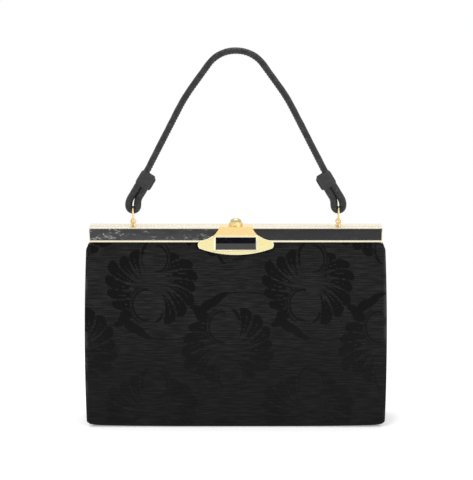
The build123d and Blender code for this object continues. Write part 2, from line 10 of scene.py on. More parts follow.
import bmesh
import bpy
import numpy as np
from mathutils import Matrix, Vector

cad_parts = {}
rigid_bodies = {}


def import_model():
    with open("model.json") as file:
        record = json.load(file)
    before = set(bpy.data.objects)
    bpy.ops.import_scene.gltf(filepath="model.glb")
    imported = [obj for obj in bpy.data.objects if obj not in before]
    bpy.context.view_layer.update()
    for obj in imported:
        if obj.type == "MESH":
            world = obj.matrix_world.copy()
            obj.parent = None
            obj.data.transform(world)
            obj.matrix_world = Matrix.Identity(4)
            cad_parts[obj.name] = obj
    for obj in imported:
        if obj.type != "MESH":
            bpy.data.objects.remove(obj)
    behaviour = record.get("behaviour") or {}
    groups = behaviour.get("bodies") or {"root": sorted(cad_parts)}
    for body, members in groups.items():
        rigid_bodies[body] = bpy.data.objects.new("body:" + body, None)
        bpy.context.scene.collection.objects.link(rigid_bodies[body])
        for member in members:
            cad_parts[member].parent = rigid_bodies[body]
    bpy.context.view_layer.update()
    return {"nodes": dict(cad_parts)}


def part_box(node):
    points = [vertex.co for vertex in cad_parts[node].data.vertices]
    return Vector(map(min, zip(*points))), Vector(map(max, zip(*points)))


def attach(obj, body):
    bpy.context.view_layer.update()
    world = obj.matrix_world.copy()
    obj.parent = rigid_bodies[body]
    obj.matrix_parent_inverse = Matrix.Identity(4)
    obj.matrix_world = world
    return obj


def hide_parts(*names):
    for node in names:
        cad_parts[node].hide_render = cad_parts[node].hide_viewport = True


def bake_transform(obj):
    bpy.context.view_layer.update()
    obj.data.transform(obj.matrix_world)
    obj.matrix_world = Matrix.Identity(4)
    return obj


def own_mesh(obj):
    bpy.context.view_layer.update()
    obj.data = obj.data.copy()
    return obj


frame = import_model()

LOG = logging.getLogger("handbag")
MM = 0.001
SAME_POINT, SAME_PLANE = 2e-6, 5e-6
FLAT_ANGLE, CORNER_ANGLE = 0.6, 38.0
IMAGE_WIDTH, IMAGE_HEIGHT = 473, 480
FRONT, BACK, BUTTON, HANDLE = "front_half", "back_half", "button", "handle"

Value = Union["Socket", float, Sequence[float]]


class Socket:
    """A shader value that can be used in Python expressions."""

    def __init__(self, tree: "ShaderTree", link: bpy.types.NodeSocket) -> None:
        """Wraps an output.

        Args:
            tree: The tree that the output belongs to.
            link: The node's output socket.
        """
        self.tree = tree
        self.link = link

    def _maths(self, operation: str, first: Value, second: Value) -> "Socket":
        """Adds one Math node and returns its result."""
        values = {"Value": first, "Value_001": second}
        return self.tree.node("ShaderNodeMath", {"operation": operation}, values)

    def __add__(self, other: Value) -> "Socket":
        """Sum."""
        return self._maths("ADD", self, other)

    def __radd__(self, other: Value) -> "Socket":
        """Sum, with the number first."""
        return self._maths("ADD", other, self)

    def __sub__(self, other: Value) -> "Socket":
        """Difference."""
        return self._maths("SUBTRACT", self, other)

    def __rsub__(self, other: Value) -> "Socket":
        """Difference, with the number first."""
        return self._maths("SUBTRACT", other, self)

    def __mul__(self, other: Value) -> "Socket":
        """Product."""
        return self._maths("MULTIPLY", self, other)

    def __rmul__(self, other: Value) -> "Socket":
        """Product, with the number first."""
        return self._maths("MULTIPLY", other, self)


class ShaderTree:
    """A material's nodes, built by expressions."""

    def __init__(self, name: str) -> None:
        """Makes an empty material.

        Args:
            name: The material's name.
        """
        self.material = bpy.data.materials.new(name)
        self.material.use_nodes = True
        self.tree = self.material.node_tree
        self.tree.nodes.clear()

    @staticmethod
    def find(sockets: bpy.types.bpy_prop_collection, key: Union[str, int]) -> bpy.types.NodeSocket:
        """Finds a socket by identifier, name or place.

        Args:
            sockets: A node's inputs or outputs.
            key: The wanted one.

        Returns:
            The socket.
        """
        for socket in sockets:
            if socket.identifier == key:
                return socket
        return sockets[key]

    def node(self, kind: str, settings: Optional[dict] = None, values: Optional[dict] = None,
             output: Union[str, int] = 0) -> Socket:
        """Adds a node.

        Args:
            kind: The node's type.
            settings: Properties that are set first.
            values: Numbers, colours or sockets for its inputs.
            output: Which output to return.

        Returns:
            The wanted output.
        """
        made = self.tree.nodes.new(kind)
        for key, value in (settings or {}).items():
            setattr(made, key, value)
        for key, value in (values or {}).items():
            socket = self.find(made.inputs, key)
            if isinstance(value, Socket):
                self.tree.links.new(value.link, socket)
            elif isinstance(value, (tuple, list)) and socket.type == "RGBA":
                socket.default_value = (*value, 1.0)[:4]
            else:
                socket.default_value = value
        return Socket(self, self.find(made.outputs, output))

    def place(self) -> Socket:
        """The object coordinates."""
        return self.node("ShaderNodeTexCoord", output="Object")

    def cloth_map(self) -> Socket:
        """The piece's own map, in metres across and along."""
        return self.node("ShaderNodeUVMap", {"uv_map": "UVMap"})

    def stretched(self, vector: Socket, scale: Sequence[float]) -> Socket:
        """A vector with each axis scaled."""
        settings = {"operation": "MULTIPLY"}
        return self.node("ShaderNodeVectorMath", settings, {"Vector": vector, "Vector_001": tuple(scale)})

    def noise(self, vector: Socket, scale: float, detail: float = 3.0, distortion: float = 0.0) -> Socket:
        """Smooth noise from 0 to 1."""
        values = {"Vector": vector, "Scale": scale, "Detail": detail, "Distortion": distortion}
        return self.node("ShaderNodeTexNoise", {"noise_dimensions": "3D"}, values, "Fac")

    def cells(self, vector: Socket, scale: float) -> Socket:
        """Distance to the nearest edge of a cell pattern."""
        settings = {"feature": "DISTANCE_TO_EDGE"}
        return self.node("ShaderNodeTexVoronoi", settings, {"Vector": vector, "Scale": scale}, "Distance")

    def step(self, value: Socket, low: float, high: float) -> Socket:
        """A smooth step from 0 to 1 between two values."""
        settings = {"interpolation_type": "SMOOTHSTEP"}
        return self.node("ShaderNodeMapRange", settings, {"Value": value, "From Min": low, "From Max": high})

    def blend(self, share: Value, first: Value, second: Value) -> Socket:
        """A mix of two colours."""
        values = {"Factor_Float": share, "A_Color": first, "B_Color": second}
        return self.node("ShaderNodeMix", {"data_type": "RGBA"}, values, "Result_Color")

    def bump(self, height: Socket, depth: float, strength: float = 1.0) -> Socket:
        """A normal from a height."""
        return self.node("ShaderNodeBump", None, {"Height": height, "Distance": depth, "Strength": strength})

    def surface(self, values: dict) -> bpy.types.Material:
        """Ends the tree in a Principled surface.

        Args:
            values: The shader's inputs.

        Returns:
            The finished material.
        """
        shader = self.node("ShaderNodeBsdfPrincipled", None, values)
        end = self.tree.nodes.new("ShaderNodeOutputMaterial")
        self.tree.links.new(shader.link, end.inputs["Surface"])
        return self.material


@dataclass(frozen=True)
class Gilt:
    """Polished or satin gilt brass; above the fold it may take a warmer, mottled tint, a painted reflection
    of the tilted upper panel.
    """

    name: str
    colour: tuple[float, float, float]
    deep: tuple[float, float, float]
    roughness: float
    brush: float
    painted_reflection_tint: Optional[tuple[float, float, float]] = None
    fold: float = 164.9 * MM

    def material(self) -> bpy.types.Material:
        """Gilt with fine hairlines and a slightly uneven tone.

        Returns:
            The finished material.
        """
        tree = ShaderTree(self.name)
        place = tree.place()
        tone = tree.noise(place, 70.0, 3.0, 0.2)
        mottle = tree.noise(place, 700.0, 3.0)
        hairline = tree.noise(tree.stretched(place, (60.0, 60.0, 3000.0)), 1.0, 2.0)
        colour = tree.blend(tone * 0.35 + mottle * 0.15, self.colour, self.deep)
        # Painted reflection: above the fold the gilt turns warmer and darker in mottled patches, for the
        # tilted upper panel that reflects less light.
        if self.painted_reflection_tint:
            height = tree.node("ShaderNodeSeparateXYZ", None, {"Vector": place}, "Z")
            above = tree.step(height, self.fold, self.fold + 0.6 * MM)
            colour = tree.blend(above * (0.62 + mottle * 0.5), colour, self.painted_reflection_tint)
        return tree.surface({
            "Base Color": colour, "Metallic": 1.0, "Roughness": self.roughness + hairline * self.brush,
            "Normal": tree.bump(hairline + mottle * 0.4, 0.012 * MM, 0.3),
        })


@dataclass(frozen=True)
class MarbledShell:
    """Dark marbled inlay with pearl streaks that gather towards the left end."""

    name: str
    dark: tuple[float, float, float]
    grey: tuple[float, float, float]
    pearl: tuple[float, float, float]

    def material(self) -> bpy.types.Material:
        """Polished marbled shell.

        Returns:
            The finished material.
        """
        tree = ShaderTree(self.name)
        place = tree.place()
        across = tree.node("ShaderNodeSeparateXYZ", None, {"Vector": place}, "X")
        left = 1.0 - tree.step(across, -0.07, 0.01)
        cloud = tree.noise(tree.stretched(place, (38.0, 60.0, 95.0)), 1.0, 5.0, 0.8)
        vein = tree.noise(tree.stretched(place, (120.0, 120.0, 330.0)), 1.0, 7.0, 1.6)
        streak = tree.step(vein, 0.53, 0.68) * tree.step(cloud, 0.42, 0.60)
        fleck = tree.step(tree.noise(place, 900.0, 2.0), 0.70, 0.80)
        body = tree.blend(cloud * (0.12 + left * 0.88), self.dark, self.grey)
        share = left * (streak + fleck * 0.35) + streak * 0.04
        return tree.surface({
            "Base Color": tree.blend(share, body, self.pearl), "Roughness": 0.16 + cloud * 0.10,
            "IOR": 1.5, "Specular IOR Level": 0.36,
            "Normal": tree.bump(cloud, 0.05 * MM, 0.15),
        })


@dataclass(frozen=True)
class Stone:
    """A cut stone."""

    name: str
    colour: tuple[float, float, float]
    roughness: float
    ior: float
    metallic: float

    def material(self) -> bpy.types.Material:
        """A polished stone with a faint cloud in it.

        Returns:
            The finished material.
        """
        tree = ShaderTree(self.name)
        cloud = tree.noise(tree.place(), 260.0, 4.0, 0.6)
        lighter = tuple(min(1.0, channel * 1.9 + 0.004) for channel in self.colour)
        return tree.surface({
            "Base Color": tree.blend(cloud, self.colour, lighter), "Metallic": self.metallic,
            "Roughness": self.roughness + cloud * 0.05, "IOR": self.ior,
        })


@dataclass(frozen=True)
class Brocade:
    """Ribbed black brocade with darker satin leaves; painted shade darkens it low down, and its side edges
    are paler in patches, wear and painted glint.
    """

    name: str
    ground: tuple[float, float, float]
    light: tuple[float, float, float]
    leaf: tuple[float, float, float]
    rubbed_glint: tuple[float, float, float]
    rib_pitch: float
    worn_glint_from: float = 0.1262
    worn_glint_full: float = 0.1292

    def material(self) -> bpy.types.Material:
        """The woven cloth; the leaves come from the mesh's own figure values.

        Returns:
            The finished material.
        """
        tree = ShaderTree(self.name)
        weave = tree.cloth_map()
        place = tree.place()
        across = tree.node("ShaderNodeSeparateXYZ", None, {"Vector": place}, "X")
        edge = tree.node("ShaderNodeMath", {"operation": "ABSOLUTE"}, {"Value": across})
        figure = tree.node("ShaderNodeAttribute", {"attribute_name": "figure"}, None, "Fac")
        strength = tree.node("ShaderNodeAttribute", {"attribute_name": "strength"}, None, "Fac")
        mask = tree.step(figure, -0.5, 0.4) * strength
        vein = (1.0 - tree.step(figure, -3.7, -2.6)) * strength
        along = tree.node("ShaderNodeSeparateXYZ", None, {"Vector": weave}, "Y")
        wander = tree.noise(tree.stretched(weave, (22.0, 22.0, 1.0)), 1.0, 2.0)
        phase = along * (2 * math.pi / self.rib_pitch) + wander * 9.0
        rib = tree.node("ShaderNodeMath", {"operation": "SINE"}, {"Value": phase}) * 0.5 + 0.5
        slub = tree.noise(tree.stretched(weave, (70.0, 820.0, 1.0)), 1.0, 4.0)
        thread = tree.noise(tree.stretched(weave, (2600.0, 900.0, 1.0)), 1.0, 2.0)
        broad = tree.noise(weave, 16.0, 3.0)
        # Painted shade: where strength is low, towards the bottom of the bag, the cloth is blended darker,
        # and lighter near the top, as the light falls from above.
        painted_top_light = tree.step(strength, 0.52, 1.0)
        rough = tree.step(slub, 0.36, 0.74) * 0.70 + rib * 0.24 + broad * 0.22 + vein * 0.34
        shade = rough * (0.60 + painted_top_light * 0.40)
        # Wear and painted glint: near the side edges the cloth is blended paler in patches, for the rubbed
        # piping and the glints along it.
        patch = tree.step(tree.noise(place, 60.0, 3.0), 0.42, 0.60)
        worn_glint = tree.step(edge, self.worn_glint_from, self.worn_glint_full) * patch
        cloth = tree.blend(worn_glint * 0.5, tree.blend(shade, self.ground, self.light), self.rubbed_glint)
        satin = tree.blend(thread * 0.6, self.leaf, self.ground)
        height = (rib * 0.55 + slub * 0.7) * (1.0 - mask * 0.75) + thread * 0.25 + mask * 0.5
        return tree.surface({
            "Base Color": tree.blend(mask, cloth, satin), "Roughness": 0.88 - mask * 0.20 - slub * 0.08,
            "Specular IOR Level": 0.10, "Sheen Weight": 0.03, "Sheen Roughness": 0.5,
            "Normal": tree.bump(height, 0.22 * MM, 0.75),
        })


@dataclass(frozen=True)
class PlainCloth:
    """A plain woven cloth, such as the lining."""

    name: str
    colour: tuple[float, float, float]
    pale: tuple[float, float, float]
    roughness: float

    def material(self) -> bpy.types.Material:
        """Fine satin with a soft crease pattern.

        Returns:
            The finished material.
        """
        tree = ShaderTree(self.name)
        weave = tree.cloth_map()
        twill = tree.noise(tree.stretched(weave, (1500.0, 400.0, 1.0)), 1.0, 2.0)
        crease = tree.noise(tree.stretched(weave, (30.0, 12.0, 1.0)), 1.0, 4.0, 0.5)
        return tree.surface({
            "Base Color": tree.blend(crease * 0.6 + twill * 0.3, self.colour, self.pale),
            "Roughness": self.roughness + twill * 0.1, "Specular IOR Level": 0.3,
            "Normal": tree.bump(twill * 0.3 + crease, 0.35 * MM, 0.5),
        })


@dataclass(frozen=True)
class Leather:
    """Black leather, embossed or smooth."""

    name: str
    dark: tuple[float, float, float]
    worn_glint: tuple[float, float, float]
    roughness: float
    grain: float
    grain_depth: float

    def material(self) -> bpy.types.Material:
        """Leather with scale-like grain, paler on its raised scales in patches: wear and painted highlight.

        Returns:
            The finished material.
        """
        tree = ShaderTree(self.name)
        weave = tree.cloth_map()
        scales = tree.cells(tree.stretched(weave, (1.0, 0.72, 1.0)), self.grain)
        pore = tree.noise(weave, self.grain * 2.4, 3.0)
        patch = tree.noise(weave, 150.0, 4.0, 0.5)
        raised = tree.step(scales, 0.02, 0.30)
        # Wear and painted highlight: raised scales are blended paler in patches.
        rubbed_glint = raised * tree.step(patch, 0.36, 0.66)
        return tree.surface({
            "Base Color": tree.blend(rubbed_glint * 0.8 + pore * 0.2, self.dark, self.worn_glint),
            "Roughness": self.roughness + pore * 0.14 - rubbed_glint * 0.06, "Specular IOR Level": 0.42,
            "Normal": tree.bump(raised + pore * 0.30, self.grain_depth, 0.9),
        })


@dataclass(frozen=True)
class Steel:
    """Plain steel of the latch."""

    name: str
    colour: tuple[float, float, float]

    def material(self) -> bpy.types.Material:
        """Steel with a rolled grain.

        Returns:
            The finished material.
        """
        tree = ShaderTree(self.name)
        place = tree.place()
        grain = tree.noise(tree.stretched(place, (300.0, 3000.0, 3000.0)), 1.0, 3.0)
        stain = tree.step(tree.noise(place, 160.0, 4.0), 0.5, 0.8)
        darker = tuple(channel * 0.55 for channel in self.colour)
        return tree.surface({
            "Base Color": tree.blend(stain * 0.7, self.colour, darker), "Metallic": 1.0,
            "Roughness": 0.30 + grain * 0.15, "Normal": tree.bump(grain, 0.02 * MM, 0.4),
        })


@dataclass(frozen=True)
class GreyBoard:
    """The stiff board inside the walls."""

    name: str
    colour: tuple[float, float, float]

    def material(self) -> bpy.types.Material:
        """Board with pressed fibres.

        Returns:
            The finished material.
        """
        tree = ShaderTree(self.name)
        place = tree.place()
        fibre = tree.noise(tree.stretched(place, (500.0, 500.0, 900.0)), 1.0, 5.0)
        darker = tuple(channel * 0.6 for channel in self.colour)
        return tree.surface({
            "Base Color": tree.blend(fibre, darker, self.colour), "Roughness": 0.82 + fibre * 0.12,
            "Normal": tree.bump(fibre, 0.08 * MM, 0.5),
        })


class Finish(Enum):
    """The handbag's finishes: the record's slot, then how it looks."""

    FRAME_GILT = ("gold_frame", Gilt("frame_gilt", (0.94, 0.87, 0.69), (0.86, 0.74, 0.50), 0.16, 0.06))
    FITTING_GILT = ("gold_frame", Gilt("fitting_gilt", (0.95, 0.80, 0.47), (0.86, 0.62, 0.28), 0.18, 0.08))
    # The clasp's third colour is the painted reflection tint above the fold.
    CLASP_GILT = ("gold_clasp", Gilt("clasp_gilt", (1.0, 0.91, 0.48), (0.98, 0.84, 0.38), 0.24, 0.08,
                                     (0.96, 0.69, 0.31)))
    # Paler gilt for the rims and the setting: painted highlight, so their edges read as bright lines.
    HIGHLIGHT_RIM_GILT = ("gold_clasp", Gilt("rim_gilt_painted_highlight", (1.0, 0.96, 0.76), (0.99, 0.90, 0.60), 0.14, 0.06))
    BUTTON_GILT = ("gold_clasp", Gilt("button_gilt", (0.95, 0.78, 0.40), (0.84, 0.60, 0.24), 0.20, 0.08))
    SHELL = ("inlay", MarbledShell("marbled_shell", (0.012, 0.012, 0.014), (0.062, 0.063, 0.066),
                                   (0.34, 0.33, 0.31)))
    JET = ("black_stone", Stone("jet_stone", (0.0035, 0.0035, 0.0050), 0.05, 1.60, 0.0))
    OLIVE_GLASS = ("button_stone", Stone("olive_glass", (0.36, 0.31, 0.15), 0.10, 1.6, 0.6))
    LATCH = ("latch_steel", Steel("latch_steel", (0.58, 0.57, 0.55)))
    # The brocade's fourth colour is its paler edge colour: wear and painted glint.
    BROCADE = ("brocade", Brocade("black_brocade", (0.0046, 0.0046, 0.0048), (0.0225, 0.0225, 0.0230),
                                  (0.0014, 0.0014, 0.0016), (0.075, 0.073, 0.070), 1.55 * MM))
    LINING = ("lining", PlainCloth("lining_satin", (0.012, 0.012, 0.013), (0.030, 0.030, 0.031), 0.42))
    BOARD = ("board", GreyBoard("grey_board", (0.055, 0.052, 0.050)))
    # Each leather's second colour is its paler scale colour: wear and painted highlight.
    ROLLED_LEATHER = ("handle_leather", Leather("rolled_leather", (0.006, 0.006, 0.006),
                                                (0.060, 0.060, 0.060), 0.34, 620.0, 0.30 * MM))
    BAND_LEATHER = ("handle_leather", Leather("band_leather", (0.020, 0.020, 0.020), (0.046, 0.046, 0.046),
                                              0.48, 1700.0, 0.05 * MM))
    THREAD = ("handle_leather", PlainCloth("black_thread", (0.014, 0.014, 0.014), (0.040, 0.040, 0.040), 0.6))

    @property
    def slot(self) -> str:
        """The record's material slot."""
        return self.value[0]

    def material(self) -> bpy.types.Material:
        """The finish's material, made once."""
        look = self.value[1]
        return bpy.data.materials.get(look.name) or look.material()


def travelled(path: np.ndarray) -> np.ndarray:
    """Distance gone along a path at each of its points."""
    return np.concatenate([[0], np.cumsum(np.linalg.norm(np.diff(path, axis=0), axis=1))])


def around_once(steps: int) -> np.ndarray:
    """Evenly spaced angles round a full turn."""
    return np.linspace(0, 2 * math.pi, steps, endpoint=False)


def hoop_faces(rows: int, around: int, closed: bool = False) -> list[tuple[int, ...]]:
    """Quads between hoops of points, one hoop after the other.

    Args:
        rows: How many hoops there are.
        around: Points in each hoop.
        closed: Whether the last hoop joins the first.

    Returns:
        The faces.
    """
    faces = []
    for row in range(rows if closed else rows - 1):
        here, ahead = row * around, (row + 1) % rows * around
        for k in range(around):
            after = (k + 1) % around
            faces.append((here + k, here + after, ahead + after, ahead + k))
    return faces


def grid_faces(rows: int, columns: int) -> np.ndarray:
    """Quads of a grid of points, row by row."""
    first = (np.arange(rows - 1)[:, None] * columns + np.arange(columns - 1)[None, :]).ravel()
    return np.stack([first, first + 1, first + columns + 1, first + columns], axis=1)


def grid_normals(points: np.ndarray) -> np.ndarray:
    """Unit normals of a grid of points.

    Args:
        points: Rows by columns by three.

    Returns:
        An array of the same shape.
    """
    down = np.gradient(points, axis=0)
    across = np.gradient(points, axis=1)
    normal = np.cross(across, down)
    return normal / np.maximum(np.linalg.norm(normal, axis=2, keepdims=True), 1e-12)


def link_object(name: str, data: bpy.types.ID) -> bpy.types.Object:
    """Puts an object in the scene, at the origin.

    Args:
        name: The object's name.
        data: Its mesh, lamp or camera.

    Returns:
        The object.
    """
    made = bpy.data.objects.new(name, data)
    bpy.context.scene.collection.objects.link(made)
    return made


def dress(name: str, mesh: bpy.types.Mesh, finish: Finish, sharp: float) -> bpy.types.Object:
    """Makes an object of a mesh, smooth apart from its sharp edges, with its material.

    Args:
        name: The piece's name.
        mesh: Its mesh.
        finish: What it is made of.
        sharp: Edges over this angle stay sharp, in degrees.

    Returns:
        The object.
    """
    mesh.polygons.foreach_set("use_smooth", [True] * len(mesh.polygons))
    mesh.set_sharp_from_angle(angle=math.radians(sharp))
    mesh.materials.clear()
    mesh.materials.append(finish.material())
    made = link_object(name, mesh)
    return made


def make_object(name: str, points: np.ndarray, faces: Sequence[Sequence[int]], finish: Finish,
                sharp: float = 32.0) -> bpy.types.Object:
    """Makes a finished mesh object at the origin.

    Args:
        name: The piece's name.
        points: Its vertices, in metres.
        faces: Its faces.
        finish: What it is made of.
        sharp: Edges over this angle stay sharp, in degrees.

    Returns:
        The object.
    """
    mesh = bpy.data.meshes.new(name)
    corners = [tuple(int(index) for index in face) for face in faces]
    mesh.from_pydata([tuple(point) for point in np.asarray(points, float)], [], corners)
    work = bmesh.new()
    work.from_mesh(mesh)
    bmesh.ops.recalc_face_normals(work, faces=work.faces)
    work.to_mesh(mesh)
    work.free()
    return dress(name, mesh, finish, sharp)


def set_map(piece: bpy.types.Object, across: np.ndarray, along: np.ndarray) -> None:
    """Gives each vertex its place in the piece's own map.

    Args:
        piece: The piece.
        across: Each vertex's place across, in metres.
        along: Each vertex's place along, in metres.
    """
    mesh = piece.data
    layer = mesh.uv_layers.new(name="UVMap")
    corner = np.empty(len(mesh.loops), int)
    mesh.loops.foreach_get("vertex_index", corner)
    flat = np.stack([across[corner], along[corner]], axis=1)
    layer.data.foreach_set("uv", flat.astype(np.float32).ravel())


def set_values(piece: bpy.types.Object, name: str, values: np.ndarray) -> None:
    """Stores one number for each vertex."""
    stored = piece.data.attributes.new(name, "FLOAT", "POINT")
    stored.data.foreach_set("value", values.astype(np.float32))


def cloth_shell(name: str, outer: np.ndarray, inward: np.ndarray, thickness: float, finish: Finish,
                maps: tuple[np.ndarray, np.ndarray], figure: Optional[np.ndarray] = None,
                strength: Optional[np.ndarray] = None) -> bpy.types.Object:
    """Closes a grid of points into a sheet with a thickness.

    Args:
        name: The piece's name.
        outer: Rows by columns by three, the outer face.
        inward: The direction of the thickness at each point.
        thickness: In metres.
        finish: What it is made of.
        maps: Where each point lies across and along the cut cloth.
        figure: Signed distance to the woven leaves, in millimetres.
        strength: How strongly the leaves show; in the brocade it also darkens the cloth where it is low, as
            painted shade.

    Returns:
        The object.
    """
    rows, columns = outer.shape[:2]
    count = rows * columns
    points = np.concatenate([outer.reshape(-1, 3), (outer + inward * thickness).reshape(-1, 3)])
    top = grid_faces(rows, columns)
    index = np.arange(count).reshape(rows, columns)
    ring = np.concatenate([index[0, :], index[1:, -1], index[-1, -2::-1], index[-2:0:-1, 0]])
    after = np.roll(ring, -1)
    rim = np.stack([ring, ring + count, after + count, after], axis=1)
    faces = np.concatenate([top, top[:, ::-1] + count, rim])
    piece = make_object(name, points, faces, finish, 60.0)
    across, along = (np.tile(m.reshape(-1), 2) for m in maps)
    set_map(piece, across, along)
    if figure is not None:
        set_values(piece, "figure", np.tile(figure.reshape(-1), 2))
        set_values(piece, "strength", np.tile(strength.reshape(-1), 2))
    return piece


def lathe(name: str, profile: Sequence[tuple[float, float]], centre: Vector, axis: str, finish: Finish,
          segments: int) -> bpy.types.Object:
    """Turns a profile round an axis.

    Args:
        name: The piece's name.
        profile: Points (radius, height along the axis) in metres, from one pole to the other.
        centre: Where height 0 lies.
        axis: "X" or "Z".
        finish: What it is made of.
        segments: Steps round the axis.

    Returns:
        The object.
    """
    turn = around_once(segments)
    rings = []
    for radius, height in profile:
        a, b, c = radius * np.cos(turn), radius * np.sin(turn), np.full(segments, height)
        rings.append(np.stack((c, a, b) if axis == "X" else (a, b, c), axis=1))
    points = np.concatenate(rings) + np.array(centre)
    last = (len(profile) - 1) * segments
    faces = hoop_faces(len(profile), segments)
    faces += [tuple(range(segments))[::-1], tuple(range(last, last + segments))]
    return make_object(name, points, faces, finish)


def tube(name: str, path: np.ndarray, radius: np.ndarray, side: np.ndarray, finish: Finish, around: int,
         closed: bool = False) -> bpy.types.Object:
    """Sweeps a circle along a plane path.

    Args:
        name: The piece's name.
        path: Points of the centreline.
        radius: The radius at each point.
        side: The path plane's normal.
        finish: What it is made of.
        around: Steps round the tube.
        closed: Whether the path is a ring.

    Returns:
        The object.
    """
    if closed:
        tangent = np.roll(path, -1, axis=0) - np.roll(path, 1, axis=0)
    else:
        tangent = np.gradient(path, axis=0)
    tangent /= np.linalg.norm(tangent, axis=1, keepdims=True)
    across = np.cross(tangent, side)
    turn = around_once(around)
    wide, high = np.cos(turn)[None, :, None], np.sin(turn)[None, :, None]
    circle = across[:, None, :] * wide + side[None, None, :] * high
    points = (path[:, None, :] + circle * radius[:, None, None]).reshape(-1, 3)
    steps = len(path)
    faces = hoop_faces(steps, around, closed)
    if not closed:
        faces += [tuple(range(around)), tuple(range((steps - 1) * around, steps * around))]
    piece = make_object(name, points, faces, finish, 60.0)
    girth = turn * float(radius.mean())
    set_map(piece, np.tile(girth, steps), np.repeat(travelled(path), around))
    return piece


def merged(node: str) -> bmesh.types.BMesh:
    """Opens a copy of a rigid node's mesh with its doubled points merged.

    Args:
        node: The node's name.

    Returns:
        The copy, which the caller frees.
    """
    work = bmesh.new()
    work.from_mesh(frame["nodes"][node].data)
    bmesh.ops.remove_doubles(work, verts=work.verts, dist=SAME_POINT)
    return work


def polished_copy(node: str, finish: Finish, edge: float, body: str, sharp: float = 40.0) -> bpy.types.Object:
    """Stands in for a rigid node with the same form and softened edges.

    Args:
        node: The node's name.
        finish: What it is made of.
        edge: Width of the softened edges, in metres.
        body: The body that it moves with.
        sharp: Edges over this angle stay sharp, in degrees.

    Returns:
        The object.
    """
    work = merged(node)
    bmesh.ops.dissolve_limit(work, angle_limit=math.radians(FLAT_ANGLE), verts=work.verts, edges=work.edges)
    corners = [e for e in work.edges if e.is_manifold and e.calc_face_angle(0.0) > math.radians(CORNER_ANGLE)]
    if edge > 0 and corners:
        bmesh.ops.bevel(work, geom=corners, offset=edge, segments=2, profile=0.5, affect="EDGES",
                        clamp_overlap=True)
    mesh = bpy.data.meshes.new(node + "_polished")
    work.to_mesh(mesh)
    work.free()
    made = dress(node + "_polished", mesh, finish, sharp)
    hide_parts(node)
    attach(made, body)
    return made


def front_edge(node: str, depth: float) -> list[tuple[float, float, float]]:
    """Follows the outline of a rigid node's flat front.

    Args:
        node: The node's name.
        depth: Where the flat front lies, in metres.

    Returns:
        The outline's points in order, starting at the left end above its lowest point.
    """
    work = merged(node)
    flat = {v for v in work.verts if abs(v.co.y - depth) < SAME_PLANE}
    fronts = {f for f in work.faces if all(v in flat for v in f.verts)}
    rim = [e for e in work.edges if sum(f in fronts for f in e.link_faces) == 1]
    steps: dict = {}
    for edge in rim:
        first, second = edge.verts
        steps.setdefault(first, []).append(second)
        steps.setdefault(second, []).append(first)
    top = max(v.co.z for v in steps)
    start = min((v for v in steps if v.co.z > top - SAME_PLANE), key=lambda v: v.co.x)
    order, last, here = [start], None, start
    while True:
        ahead = [v for v in steps[here] if v is not last]
        step = min(ahead, key=lambda v: v.co.z) if last is None else ahead[0]
        if step is start:
            break
        order.append(step)
        last, here = here, step
    points = [tuple(v.co) for v in order]
    work.free()
    return points


